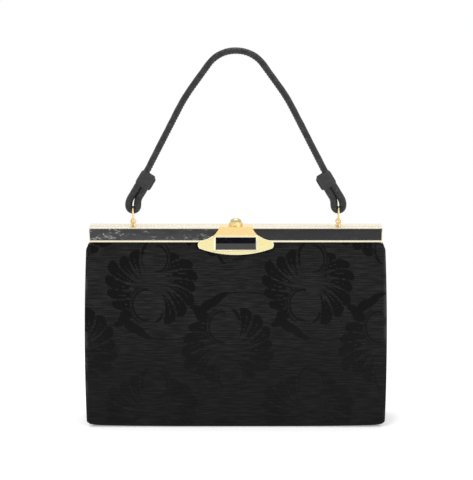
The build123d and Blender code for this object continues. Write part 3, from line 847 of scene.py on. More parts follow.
class PathNodes:
    """Geometry Nodes that lay stitches or a wire along a path."""

    def __init__(self, name: str, inputs: dict[str, float]) -> None:
        """Starts a tree.

        Args:
            name: The tree's name.
            inputs: Its named sizes with their defaults.
        """
        self.tree = bpy.data.node_groups.new(name, "GeometryNodeTree")
        face = self.tree.interface
        face.new_socket("Geometry", in_out="INPUT", socket_type="NodeSocketGeometry")
        self.sizes = {}
        for key, value in inputs.items():
            socket = face.new_socket(key, in_out="INPUT", socket_type="NodeSocketFloat")
            socket.default_value = value
            self.sizes[key] = socket.identifier
        thread = face.new_socket("Material", in_out="INPUT", socket_type="NodeSocketMaterial")
        self.sizes["Material"] = thread.identifier
        face.new_socket("Geometry", in_out="OUTPUT", socket_type="NodeSocketGeometry")
        self.start = self.tree.nodes.new("NodeGroupInput")

    def add(self, kind: str, settings: Optional[dict] = None,
            values: Optional[dict] = None) -> bpy.types.Node:
        """Adds a node.

        Args:
            kind: The node's type.
            settings: Properties that are set first.
            values: Numbers or sockets for its inputs.

        Returns:
            The node.
        """
        made = self.tree.nodes.new(kind)
        for key, value in (settings or {}).items():
            setattr(made, key, value)
        for key, value in (values or {}).items():
            if isinstance(value, bpy.types.NodeSocket):
                self.tree.links.new(value, made.inputs[key])
            else:
                made.inputs[key].default_value = value
        return made

    def close(self, geometry: bpy.types.NodeSocket) -> None:
        """Ends the tree in real geometry with its material.

        Args:
            geometry: What the tree has made.
        """
        real = self.add("GeometryNodeRealizeInstances", None, {"Geometry": geometry})
        shown = self.add("GeometryNodeSetMaterial", None, {
            "Geometry": real.outputs[0], "Material": self.start.outputs["Material"]})
        self.add("NodeGroupOutput", None, {"Geometry": shown.outputs[0]})

    @classmethod
    def stitches(cls) -> "PathNodes":
        """Evenly spaced stitches along a path.

        Returns:
            The tree.
        """
        made = cls("stitch_row", {"Pitch": 3.0 * MM, "Length": 2.0 * MM, "Thickness": 0.45 * MM})
        curve = made.add("GeometryNodeMeshToCurve", None, {"Mesh": made.start.outputs["Geometry"]})
        spaced = made.add("GeometryNodeResampleCurve", {"mode": "LENGTH"}, {
            "Curve": curve.outputs[0], "Length": made.start.outputs["Pitch"]})
        bead = made.add("GeometryNodeMeshUVSphere", None, {"Segments": 8, "Rings": 6, "Radius": 0.5})
        size = made.add("ShaderNodeCombineXYZ", None, {
            "X": made.start.outputs["Thickness"], "Y": made.start.outputs["Thickness"],
            "Z": made.start.outputs["Length"]})
        tangent = made.add("GeometryNodeInputTangent")
        turned = made.add("FunctionNodeAlignRotationToVector", {"axis": "Z"}, {"Vector": tangent.outputs[0]})
        placed = made.add("GeometryNodeInstanceOnPoints", None, {
            "Points": spaced.outputs[0], "Instance": bead.outputs["Mesh"],
            "Rotation": turned.outputs[0], "Scale": size.outputs[0]})
        made.close(placed.outputs[0])
        return made

    @classmethod
    def wire(cls) -> "PathNodes":
        """A round wire along a path.

        Returns:
            The tree.
        """
        made = cls("rim_wire", {"Radius": 0.3 * MM})
        curve = made.add("GeometryNodeMeshToCurve", None, {"Mesh": made.start.outputs["Geometry"]})
        ring = made.add("GeometryNodeCurvePrimitiveCircle", None, {
            "Resolution": 8, "Radius": made.start.outputs["Radius"]})
        swept = made.add("GeometryNodeCurveToMesh", None, {
            "Curve": curve.outputs[0], "Profile Curve": ring.outputs[0], "Fill Caps": True})
        made.close(swept.outputs[0])
        return made

    def lay(self, name: str, path: Sequence[Sequence[float]], sizes: dict[str, float], finish: Finish,
            closed: bool = False) -> bpy.types.Object:
        """Makes a plain mesh from the tree along a path.

        Args:
            name: The piece's name.
            path: The path's points.
            sizes: Values for the tree's named sizes.
            finish: What it is made of.
            closed: Whether the path closes on itself.

        Returns:
            The object, with no modifier left.
        """
        count = len(path)
        edges = [(k, (k + 1) % count) for k in range(count if closed else count - 1)]
        line = bpy.data.meshes.new(name + "_path")
        line.from_pydata([tuple(p) for p in path], edges, [])
        made = link_object(name, line)
        modifier = made.modifiers.new("lay", "NODES")
        modifier.node_group = self.tree
        for key, value in sizes.items():
            modifier[self.sizes[key]] = value
        modifier[self.sizes["Material"]] = finish.material()
        graph = bpy.context.evaluated_depsgraph_get()
        result = bpy.data.meshes.new_from_object(made.evaluated_get(graph))
        made.modifiers.clear()
        made.data = result
        if not result.materials:
            result.materials.append(finish.material())
        result.polygons.foreach_set("use_smooth", [True] * len(result.polygons))
        return made


@dataclass
class LeafFigure:
    """The woven leaf clusters: rows of rosettes, each second row half a repeat across. Millimetres."""

    repeat: float = 134.7
    row: float = 54.0
    shift: float = 65.5
    first_x: float = -71.9
    first_row: float = 36.6
    leaves: int = 18
    root: float = 11.0
    swirl: float = 0.42
    squat: float = 1.15
    seed: int = 11
    tips: tuple[float, float] = (37.0, 43.0)
    gap: float = 0.55
    # Each bud: place across and up, half its height and width, the side of its stem.
    buds: tuple[tuple[float, ...], ...] = ((4.5, 22.0, 8.0, 6.0, 1.0), (-5.5, -17.5, 10.0, 8.4, -1.0))
    # Each leaflet of the spray: place across and up, half its length and width, its lean in radians.
    spray: tuple[tuple[float, ...], ...] = (
        (-24.5, -29.5, 6.0, 4.2, 0.9), (-19.0, -35.5, 7.5, 4.0, -0.8), (-11.0, -40.0, 8.5, 3.4, -0.75),
        (-28.5, -34.0, 4.5, 2.6, 0.2), (-5.0, -44.5, 5.5, 2.2, -0.5))
    # The trailing stem's curve: where it starts, what it bends towards, where it ends.
    stem: tuple[tuple[float, float], ...] = ((-4.0, -45.0), (14.0, -51.0), (42.0, -43.0))

    def ring(self, dx: np.ndarray, dz: np.ndarray) -> np.ndarray:
        """Signed distance to the ring of curved, lobed leaves.

        Args:
            dx: Distance across from the rosette's centre.
            dz: Distance up from it.

        Returns:
            Positive inside a leaf; about -4 along the pale veins that run in to the centre.
        """
        chance = np.random.default_rng(self.seed)
        tips = chance.uniform(*self.tips, self.leaves)
        up = dz * self.squat
        radius = np.hypot(dx, up)
        turn = np.arctan2(up, dx) + self.swirl * (radius - 30.0) / 30.0
        pitch = 2 * math.pi / self.leaves
        which = np.round(turn / pitch)
        leaf = which.astype(int) % self.leaves
        offset = (turn - which * pitch) * radius
        reach = tips[leaf]
        room = pitch * radius / 2
        grown = np.clip((radius - self.root) / (29.0 - self.root), 0.0, 1.0)
        half = (room - self.gap) * (0.30 + 0.70 * grown * grown * (3 - 2 * grown))
        end = np.clip((radius - reach + 5.5) / 5.5, 0.0, 1.0)
        lobes = 1 + 0.10 * np.sin(2 * math.pi * radius / 5.5 + 2.1 * leaf)
        half = half * np.sqrt(1 - end * end) * lobes
        field = np.where((radius < self.root) | (radius > reach), -2.0, half - np.abs(offset))
        field = np.minimum(field, -0.12 + 3.1 * np.clip((radius - 13.0) / 15.0, 0.0, 1.0))
        between = np.abs(np.abs(offset) - room) < self.gap
        rib = (np.abs(offset - 0.4) < 0.4) & (radius > 17.0)
        vein = (between | rib) & (radius > 9.0) & (radius < reach - 7.0)
        field = np.where(rib & (radius < reach - 7.0), -2.0, field)
        return np.where(vein & (field < 0.0), -4.0, field)

    def bud(self, dx: np.ndarray, dz: np.ndarray, high: float, wide: float, hand: float) -> tuple:
        """A pale oval bud and the dark stem that curls beside it.

        Args:
            dx: Distance across from the bud.
            dz: Distance up from it.
            high: Half its height.
            wide: Half its width.
            hand: The side of the stem, -1 or 1.

        Returns:
            Distance outside the oval, and signed distance to the stem.
        """
        oval = (np.hypot(dx / wide, dz / high) - 1) * wide
        beside = np.where(dx * hand > -wide * 0.35, 1.0, 0.0)
        lines = np.maximum(0.75 - np.abs(oval - 2.6), 0.6 - np.abs(oval - 5.2))
        return oval, np.where((beside > 0) & (np.abs(dz) < high * 1.5), lines, -2.0)

    def rosette(self, dx: np.ndarray, dz: np.ndarray) -> np.ndarray:
        """Signed distance to one rosette with its buds and its trailing spray.

        Args:
            dx: Distance across from its centre.
            dz: Distance up from its centre.

        Returns:
            Positive inside a leaf, in millimetres.
        """
        field = self.ring(dx, dz)
        for cx, cz, high, wide, hand in self.buds:
            oval, stem = self.bud(dx - cx, dz - cz, high, wide, hand)
            field = np.where(oval < 6.4, np.minimum(field, -2.0), field)
            field = np.where(np.abs(oval) < 0.5, -4.0, field)
            field = np.maximum(field, stem)
        for cx, cz, long, short, lean in self.spray:
            u = (dx - cx) * math.cos(lean) + (dz - cz) * math.sin(lean)
            v = (dz - cz) * math.cos(lean) - (dx - cx) * math.sin(lean)
            field = np.maximum(field, (1.0 - np.hypot(u / long, v / short)) * short)
        for k in np.linspace(0, 1, 40):
            weights = ((1 - k) ** 2, 2 * k * (1 - k), k * k)
            sx, sz = (sum(w * spot[axis] for w, spot in zip(weights, self.stem)) for axis in (0, 1))
            field = np.maximum(field, 0.55 - np.hypot(dx - sx, dz - sz) * 0.9)
        return field

    def field(self, x: np.ndarray, along: np.ndarray) -> np.ndarray:
        """Signed distance to the nearest leaf; each second row of rosettes is turned over.

        Args:
            x: Place across the cloth.
            along: Place down the cloth from the mouth.

        Returns:
            Positive inside a leaf, in millimetres; about -4 on pale lines.
        """
        best = np.full(x.shape, -9.0)
        for shift, row, hand in ((0.0, 0.0, 1.0), (self.shift, self.row, -1.0)):
            dx = x - self.first_x - shift
            dx = dx - np.round(dx / self.repeat) * self.repeat
            dz = -(along - self.first_row - row)
            dz = dz - np.round(dz / (2 * self.row)) * 2 * self.row
            one = self.rosette(dx, dz * hand)
            pale = (one < -3.0) & (best < -1.9)
            best = np.where(pale, -4.0, np.maximum(best, np.where(one < -3.0, -9.0, one)))
        return np.clip(best, -4.0, 3.0)


@dataclass
class BagBody:
    """The cloth body: cover, boards, gussets and lining. Millimetres."""

    channel: float = 8.7
    mouth: float = 158.4
    tab_top: float = 167.4
    base_half: float = 31.0
    bulge: float = 3.0
    edge_radius: float = 5.0
    corner_radius: float = 4.6
    shoulder: float = 158.0
    shoulder_half: float = 128.6
    widest: float = 130.0
    foot_half: float = 128.4
    base_width: float = 124.5
    tab_half: float = 121.3
    shoulder_radius: float = 7.2
    cloth: float = 0.9
    roll: float = 1.3
    turn_in: float = 1.6
    step: float = 1.25
    hinge: float = 111.0
    cover_turn: float = 128.0
    lining_turn: float = 130.2
    crease: float = 0.6
    crease_rows: int = 16
    crease_low: float = 99.0
    crease_high: float = 126.0
    lining_inset: float = 3.2
    lining_half: float = 117.2
    lining_top: float = 159.6
    fold_strip: float = 1.5
    edge_share: float = 0.028
    edge_columns: int = 9
    fade_in: float = 6.0
    soft_edge: float = 9.0
    soft_sink: float = 0.7
    wave: float = 0.22
    relief: float = 0.10
    end_lift: float = 1.3
    lift_reach: float = 10.0
    faint: float = 0.52
    faint_below: float = 45.0
    faint_over: float = 55.0
    fine_end: float = 12.0
    lining_columns: int = 90
    gusset_row: float = 1.6
    gusset_columns: int = 26
    fan_columns: int = 14
    lining_cloth: float = 0.5
    gusset_cloth: float = 0.8
    gusset_low: float = 1.6
    gusset_high: float = 158.0
    side_heights: tuple[float, ...] = (0.0, 50.0, 89.5, 111.0, 160.0)
    side_half: tuple[float, ...] = (126.0, 125.8, 120.6, 120.2, 120.2)
    side_fold: tuple[float, ...] = (8.2, 10.4, 14.0, 14.2, 8.6)

    def depth(self, height: np.ndarray) -> np.ndarray:
        """Depth of the outer face.

        Args:
            height: Heights above the base.

        Returns:
            How far from the middle plane the face lies there.
        """
        dy, dz = self.base_half - self.channel, self.mouth
        chord = math.hypot(dy, dz)
        radius = (chord**2 / 4 + self.bulge**2) / (2 * self.bulge)
        inward = radius - self.bulge
        centre_y = (self.base_half + self.channel) / 2 - dz / chord * inward
        centre_z = self.mouth / 2 - dy / chord * inward
        return centre_y + np.sqrt(radius**2 - (np.asarray(height, float) - centre_z) ** 2)

    def half_width(self, height: np.ndarray) -> np.ndarray:
        """Half the cover's width.

        Args:
            height: Heights above the base.

        Returns:
            Half the width there.
        """
        height = np.asarray(height, float)
        middle = self.mouth / 2
        ends = np.where(height > middle, self.shoulder_half, self.foot_half)
        wide = self.widest - (self.widest - ends) * ((height - middle) / middle) ** 2
        low = self.shoulder - self.shoulder_radius
        drop = np.clip(height - low, 0, self.shoulder_radius)
        wide = wide - (self.shoulder_radius - np.sqrt(self.shoulder_radius**2 - drop**2))
        rise = np.clip(self.corner_radius - height, 0, self.corner_radius)
        wide = wide - (self.corner_radius - np.sqrt(self.corner_radius**2 - rise**2))
        return np.where(height > self.shoulder, self.tab_half, np.maximum(wide, self.tab_half))

    def path(self, side: int, inset: float, top: float, whole_base: bool) -> np.ndarray:
        """The section from the top down to the base.

        Args:
            side: -1 in front and +1 behind.
            inset: How far inside the outer face it runs.
            top: Where it starts.
            whole_base: Whether it goes on under the whole bag.

        Returns:
            Points (y, z) in millimetres, evenly spaced.
        """
        points = [(self.channel - inset, z) for z in np.linspace(top, self.mouth + 0.2, 6)]
        flat = self.base_half - self.edge_radius
        low = self.edge_radius + 0.35
        for z in np.linspace(self.mouth, low, 160):
            points.append((float(self.depth(z)) - inset, z))
        radius = self.edge_radius - inset
        start = math.atan2(0.10, 1.0)
        for turn in np.linspace(start, math.pi / 2, 10)[1:]:
            points.append((flat + radius * math.cos(turn), self.edge_radius - radius * math.sin(turn)))
        if whole_base:
            points += [(y, inset) for y in np.linspace(flat, -flat, 40)[1:]]
        rough = np.array(points)
        rough[:, 0] *= side
        gone = travelled(rough)
        shoulder_end = (top - self.mouth) + self.fine_end
        fine = np.arange(0, shoulder_end, self.step / 2)
        rest = np.linspace(shoulder_end, gone[-1], int((gone[-1] - shoulder_end) / self.step))
        where = np.concatenate([fine, rest])
        return np.stack([np.interp(where, gone, rough[:, 0]), np.interp(where, gone, rough[:, 1])], axis=1)

    def creased(self, path: np.ndarray, low: float) -> np.ndarray:
        """Adds rows to a section where its cloth turns sharply as the bag opens.

        Args:
            path: Points (y, z) from the top down.
            low: Where the turn begins.

        Returns:
            The section with the extra rows.
        """
        upright = int(np.argmax(path[:, 1] < self.hinge))
        top = path[:upright]
        heights = np.linspace(low + self.crease, low, self.crease_rows)
        depths = np.interp(heights, top[::-1, 1], top[::-1, 0])
        clear = (top[:, 1] > low + self.crease + 0.05) | (top[:, 1] < low - 0.05)
        rows = np.vstack([top[clear], np.stack([depths, heights], axis=1)])
        rows = rows[np.argsort(-rows[:, 1], kind="stable")]
        return np.vstack([rows, path[upright:]])

    def cover(self, name: str, side: int, whole_base: bool) -> bpy.types.Object:
        """A brocade cover sheet, turned in at its side edges.

        Args:
            name: The piece's name.
            side: -1 in front and +1 behind.
            whole_base: Whether it goes on under the whole bag.

        Returns:
            The object.
        """
        path = self.path(side, 0.0, self.tab_top, whole_base)
        if side > 0:
            path = self.creased(path, self.cover_turn)
        gone = travelled(path)
        tangent = np.gradient(path, axis=0)
        tangent /= np.linalg.norm(tangent, axis=1, keepdims=True)
        inward = np.stack([-tangent[:, 1], tangent[:, 0]], axis=1)
        if float((inward[len(path) // 2] * (-path[len(path) // 2])).sum()) < 0:
            inward = -inward
        in_base = path[:, 1] < 0.5
        wide = np.where(in_base, self.base_width, self.half_width(path[:, 1]))
        quarter = self.roll * math.pi / 2
        reach = wide - self.roll + quarter + self.turn_in
        rim, field = np.linspace(0, self.edge_share, self.edge_columns), 1 - self.edge_share
        unit = np.concatenate([
            -1 + rim[:-1], np.linspace(-field, field, int(2 * self.widest / self.step)), 1 - rim[::-1][1:]])
        flat_x = unit[None, :] * reach[:, None]
        past = np.abs(flat_x) - (wide - self.roll)[:, None]
        turn = np.clip(past / self.roll, 0, math.pi / 2)
        x = np.where(past <= 0, np.abs(flat_x), (wide - self.roll)[:, None] + self.roll * np.sin(turn))
        sunk = np.where(past <= 0, 0.0, self.roll * (1 - np.cos(turn)) + np.maximum(past - quarter, 0))
        x = x * np.sign(flat_x)
        tucked = np.clip((self.mouth - path[:, 1]) / self.fade_in, 0, 1)[:, None] * np.ones_like(x)
        near = np.clip((np.abs(x) - (wide[:, None] - self.soft_edge)) / self.soft_edge, 0, 1)
        soft = self.soft_sink * near**2 * tucked
        wave = np.sin(x / 31.0 + 0.6) * np.sin(gone[:, None] / 27.0 + 1.1)
        wave = (wave + 0.6 * np.sin(x / 13.0 + gone[:, None] / 19.0)) * self.wave * tucked * (1 - near)
        along = gone - (self.tab_top - self.mouth)
        figure = LeafFigure().field(x, along[:, None] * np.ones_like(x))
        relief = self.relief * np.clip((figure + 0.4) / 0.8, 0, 1) * tucked * (1 - in_base[:, None])
        sink = sunk + soft + np.where(in_base[:, None], 0.0, wave * 0.8 + 0.3 * tucked - relief)
        y = path[:, 0][:, None] + inward[:, 0][:, None] * sink
        z = path[:, 1][:, None] + inward[:, 1][:, None] * sink
        lift = self.end_lift * (np.abs(x) / self.widest) ** 4
        z = np.maximum(z + lift * np.exp(-np.maximum(z, 0) / self.lift_reach), 0.0)
        outer = np.stack([x, y, z], axis=2) * MM
        normal = grid_normals(outer)
        facing = normal[len(path) // 2, outer.shape[1] // 2]
        if float(facing[1] * side) > 0:
            normal = -normal
        # strength fades the leaves towards the bottom and also drives the brocade's painted shade, darker low
        # down.
        shown = np.clip((path[:, 1] - self.faint_below) / self.faint_over, 0, 1)[:, None]
        strength = self.faint + (1 - self.faint) * shown * np.ones_like(x)
        maps = (flat_x * MM, along[:, None] * np.ones_like(x) * MM)
        piece = cloth_shell(name, outer, normal, self.cloth * MM, Finish.BROCADE, maps, figure, strength)
        return piece

    def lining(self, name: str, side: int, whole_base: bool) -> bpy.types.Object:
        """A lining sheet that hangs inside the boards.

        Args:
            name: The piece's name.
            side: -1 in front and +1 behind.
            whole_base: Whether it goes on under the whole bag.

        Returns:
            The object.
        """
        path = self.path(side, self.lining_inset, self.lining_top, whole_base)[::3]
        if side > 0:
            path = self.creased(path, self.lining_turn)
        gone = travelled(path)
        across = np.linspace(-self.lining_half, self.lining_half, self.lining_columns)
        x = across[None, :] * np.ones((len(path), 1))
        sag = 0.35 * np.sin(x / 17.0) * np.sin(gone[:, None] / 40.0)
        inner = -np.sign(path[:, 0])[:, None]
        y = path[:, 0][:, None] + inner * (np.abs(sag) + 0.2) * (path[:, 1][:, None] > 8)
        z = path[:, 1][:, None] + np.where(path[:, 1][:, None] > 8, 0.0, 0.3)
        outer = np.stack([x, y * np.ones_like(x), z * np.ones_like(x)], axis=2) * MM
        normal = grid_normals(outer)
        if float(normal[len(path) // 3, self.lining_columns // 2][1] * side) > 0:
            normal = -normal
        maps = (x * MM, gone[:, None] * np.ones_like(x) * MM)
        piece = cloth_shell(name, outer, normal, self.lining_cloth * MM, Finish.LINING, maps)
        return piece

    def gusset_x(self, y: np.ndarray, z: np.ndarray, depth: np.ndarray) -> np.ndarray:
        """How far out a gusset lies.

        Args:
            y: Places in depth.
            z: Places in height.
            depth: Where the bag's wall lies at those heights.

        Returns:
            Distances from the bag's middle.
        """
        half = np.interp(z, self.side_heights, self.side_half)
        fold = np.interp(z, self.side_heights, self.side_fold)
        share = np.clip(1 - np.abs(y) / depth, 0, 1)
        soft = share**1.25 * (1 - 0.10 * np.exp(-((np.abs(y) / 2.2) ** 2)))
        crumple = 0.35 * np.sin(z / 9.0 + y / 4.0) * np.sin(math.pi * share)
        return half - fold * soft + crumple

    def gusset_piece(self, name: str, end: int, low: float, high: float, edges: str) -> bpy.types.Object:
        """One part of a side gusset.

        Args:
            name: The piece's name.
            end: -1 at the left end and +1 at the right end.
            low: Its lowest height.
            high: Its highest height.
            edges: "front", "back" or "fan", which part of the fold it is.

        Returns:
            The object.
        """
        rows = np.linspace(high, low, int((high - low) / self.gusset_row) + 2)
        depth = self.depth(rows) - self.cloth - 0.6
        depth = np.where(rows < self.edge_radius, np.minimum(depth, self.base_half - self.edge_radius), depth)
        inner = np.interp(rows, [self.hinge - 2, self.hinge + 2], [self.fold_strip, -self.fold_strip])
        rear = np.full_like(rows, self.fold_strip)
        start, end_y = {"front": (-depth, inner), "back": (rear, depth), "fan": (inner, rear)}[edges]
        share = np.linspace(0, 1, self.fan_columns if edges == "fan" else self.gusset_columns)[None, :]
        y = start[:, None] + (end_y - start)[:, None] * share
        z = rows[:, None] * np.ones_like(y)
        x = self.gusset_x(y, z, depth[:, None])
        outer = np.stack([end * x, y, z], axis=2) * MM
        normal = grid_normals(outer)
        if float(normal[len(rows) // 2, normal.shape[1] // 2][0] * end) > 0:
            normal = -normal
        figure = LeafFigure().field(y * 1.02 + 6.0, (self.mouth - z) + 12.0)
        # This strength also sets the gussets' painted shade, about as dark as the lower front.
        strength = 0.6 * np.ones_like(y)
        maps = (y * MM, (self.mouth - z) * MM)
        piece = cloth_shell(name, outer, normal, self.gusset_cloth * MM, Finish.BROCADE, maps, figure,
                            strength)
        if edges == "fan":
            return piece
        return piece

    def build(self) -> None:
        """Makes and places every soft piece of the body."""
        front = self.cover("front_cover", -1, True)
        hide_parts("front_panel", "base_panel")
        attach(front, FRONT)
        back = self.cover("back_cover", 1, False)
        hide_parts("lower_back_panel", "upper_back_panel")
        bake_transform(back)
        front_lining = self.lining("front_lining", -1, True)
        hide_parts("lining")
        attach(front_lining, FRONT)
        back_lining = self.lining("back_lining", 1, False)
        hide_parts("upper_back_lining")
        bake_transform(back_lining)
        low, high = self.gusset_low, self.gusset_high
        for end, side in ((-1, "left"), (1, "right")):
            still = self.gusset_piece(f"{side}_gusset_front", end, low, high, "front")
            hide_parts(f"{side}_gusset")
            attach(still, FRONT)
            fan = self.gusset_piece(f"{side}_gusset_fold", end, self.hinge - 1.0, high, "fan")
            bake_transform(fan)
            moving = self.gusset_piece(f"{side}_gusset_back", end, low, high, "back")
            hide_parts(f"{side}_gusset_leaf")
            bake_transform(moving)
        for node in ("front_board", "base_board", "lower_back_board", "upper_back_board"):
            board = frame["nodes"][node]
            board.data.materials.clear()
            board.data.materials.append(Finish.BOARD.material())
        LOG.info("body: cover, lining and gussets made")


@dataclass
class FrameWork:
    """The gilt frame halves, their inlays, rivets and inner latch. Millimetres."""

    edge: float = 0.16
    press: float = 1.6
    pin_radius: float = 2.7
    pin_height: float = 0.9
    half_length: float = 125.75
    inner_face: float = 123.0
    shank: float = 1.6
    hinge: float = 111.0

    def build(self) -> None:
        """Makes and places every rigid piece of the frame."""
        for node, body in (("front_frame", FRONT), ("back_frame", BACK)):
            polished_copy(node, Finish.FRAME_GILT, self.edge * MM, body)
        for node, body in (("front_inlay_left", FRONT), ("front_inlay_right", FRONT), ("back_inlay", BACK)):
            polished_copy(node, Finish.SHELL, 0.12 * MM, body)
        steel = {"latch_housing": FRONT, "catch_plate": BACK, "latch_bar": BUTTON}
        for node, body in steel.items():
            polished_copy(node, Finish.LATCH, 0.06 * MM, body)
        spring = polished_copy("latch_spring", Finish.LATCH, 0.0, FRONT)
        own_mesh(spring)
        for end, side in ((-1, "left"), (1, "right")):
            self.rivet(end, f"hinge_pin_{side}")
        LOG.info("frame: halves, inlays, rivets and latch made")

    def rivet(self, end: int, node: str) -> None:
        """A domed hinge rivet with its inner head.

        Args:
            end: -1 at the left end and +1 at the right end.
            node: The rivet's node.
        """
        r, h, s = self.pin_radius, self.pin_height, self.shank
        start, stop = self.inner_face - h, self.half_length + h
        profile = [(0.3, start), (r * 0.8, start), (r, start + 0.25), (r, start + h), (s, start + h),
                   (s, self.half_length), (r, self.half_length)]
        for k in range(1, 8):
            turn = k / 8 * math.pi / 2
            profile.append((r * math.cos(turn), self.half_length + h * math.sin(turn)))
        profile.append((0.2, stop))
        turned = [(radius * MM, end * height * MM) for radius, height in profile]
        rivet = lathe(node + "_head", turned, Vector((0, 0, self.hinge * MM)), "X", Finish.FRAME_GILT, 40)
        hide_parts(node)
        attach(rivet, FRONT)


@dataclass
class Clasp:
    """The clasp plate, its stone and the push button. Millimetres."""

    top: float = 171.85
    front: float = 12.2
    axis_y: float = -3.5
    collar: float = 6.25
    wall: float = 0.85
    collar_height: float = 2.4
    cup: float = 5.25
    cup_foot: float = 173.75
    cup_height: float = 1.5
    stem: float = 1.5
    stem_end: float = 163.4
    stone_height: float = 2.9
    facets: int = 12
    fold: float = 164.4
    collar_steps: int = 64
    cup_steps: int = 56
    plate_bead: float = 0.36
    setting_bead: float = 0.24

    def stone(self) -> None:
        """A faceted dome on the cup."""
        base = self.cup_foot + self.cup_height
        rings = [(self.cup - 0.35, base - 0.1, 0.0), (self.cup - 0.5, base + 0.9, 0.5),
                 (self.cup * 0.74, base + 2.0, 0.0), (self.cup * 0.38, base + self.stone_height - 0.12, 0.5)]
        points, faces = [], []
        for radius, height, offset in rings:
            for k in range(self.facets):
                turn = 2 * math.pi * (k + offset) / self.facets
                points.append((radius * math.cos(turn), self.axis_y + radius * math.sin(turn), height))
        points.append((0, self.axis_y, base + self.stone_height))
        n = self.facets
        for row in range(len(rings) - 1):
            odd = rings[row][2] > 0
            for k in range(n):
                a, b = row * n + k, row * n + (k + 1) % n
                c, d = (row + 1) * n + k, (row + 1) * n + (k + 1) % n
                faces += [(a, b, d), (a, d, c)] if odd else [(a, b, c), (b, d, c)]
        last = (len(rings) - 1) * n
        faces += [(last + k, last + (k + 1) % n, len(points) - 1) for k in range(n)]
        faces.append(tuple(range(n))[::-1])
        piece = make_object("button_crystal", np.array(points) * MM, faces, Finish.OLIVE_GLASS, 5.0)
        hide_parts("button_stone")
        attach(piece, BUTTON)

    def rims(self) -> None:
        """A raised bead along the free edge of the plate, and one round the setting, both in paler gilt as
        painted highlight.
        """
        edge = front_edge("clasp_plate", -self.front * MM)
        below = [p for p in edge if p[2] < self.fold * MM]
        bead = [(x, y + 0.05 * MM, z) for x, y, z in below]
        plate = PathNodes.wire().lay("plate_bead", bead, {"Radius": self.plate_bead * MM}, Finish.HIGHLIGHT_RIM_GILT)
        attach(plate, FRONT)
        box_low, box_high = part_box("stone_setting")
        y, left, right = box_low.y + 0.04 * MM, box_low.x + 0.55 * MM, box_high.x - 0.55 * MM
        low, high = box_low.z + 0.5 * MM, box_high.z - 0.5 * MM
        path = [(left, y, low), (right, y, low), (right, y, high), (left, y, high)]
        sizes = {"Radius": self.setting_bead * MM}
        rim = PathNodes.wire().lay("setting_rim", path, sizes, Finish.HIGHLIGHT_RIM_GILT, closed=True)
        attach(rim, FRONT)

    def build(self) -> None:
        """Makes and places every piece of the clasp."""
        polished_copy("clasp_plate", Finish.CLASP_GILT, 0.22 * MM, FRONT, 15.0)
        # The setting is in the paler gilt too: painted highlight.
        polished_copy("stone_setting", Finish.HIGHLIGHT_RIM_GILT, 0.12 * MM, FRONT)
        polished_copy("clasp_stone", Finish.JET, 0.0, FRONT, 2.0)
        centre = Vector((0, self.axis_y * MM, 0))
        outer, inner, top = self.collar, self.collar - self.wall, self.top + self.collar_height
        ring = [(outer - 0.45, self.top), (outer - 0.45, self.top + 0.45), (outer, self.top + 0.6),
                (outer, top - 0.3), (outer - 0.3, top), (inner + 0.1, top), (inner, top - 0.1),
                (inner, self.top)]
        turn = around_once(self.collar_steps)
        points = np.concatenate([np.stack([r * np.cos(turn), self.axis_y + r * np.sin(turn),
                                           np.full(self.collar_steps, h)], axis=1) for r, h in ring]) * MM
        faces = hoop_faces(len(ring), self.collar_steps, closed=True)
        collar = make_object("collar_ring", points, faces, Finish.BUTTON_GILT, 40.0)
        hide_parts("button_collar")
        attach(collar, FRONT)
        rise = self.cup_foot + self.cup_height
        cup = [(0.2, self.stem_end), (self.stem, self.stem_end + 0.1), (self.stem, self.cup_foot),
               (self.cup, self.cup_foot), (self.cup, rise - 0.25), (self.cup - 0.25, rise), (0.2, rise)]
        profile = [(r * MM, h * MM) for r, h in cup]
        button = lathe("button_cup", profile, centre, "Z", Finish.BUTTON_GILT, self.cup_steps)
        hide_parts("push_button")
        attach(button, BUTTON)
        self.stone()
        self.rims()
        LOG.info("clasp: plate, setting, stone and button made")


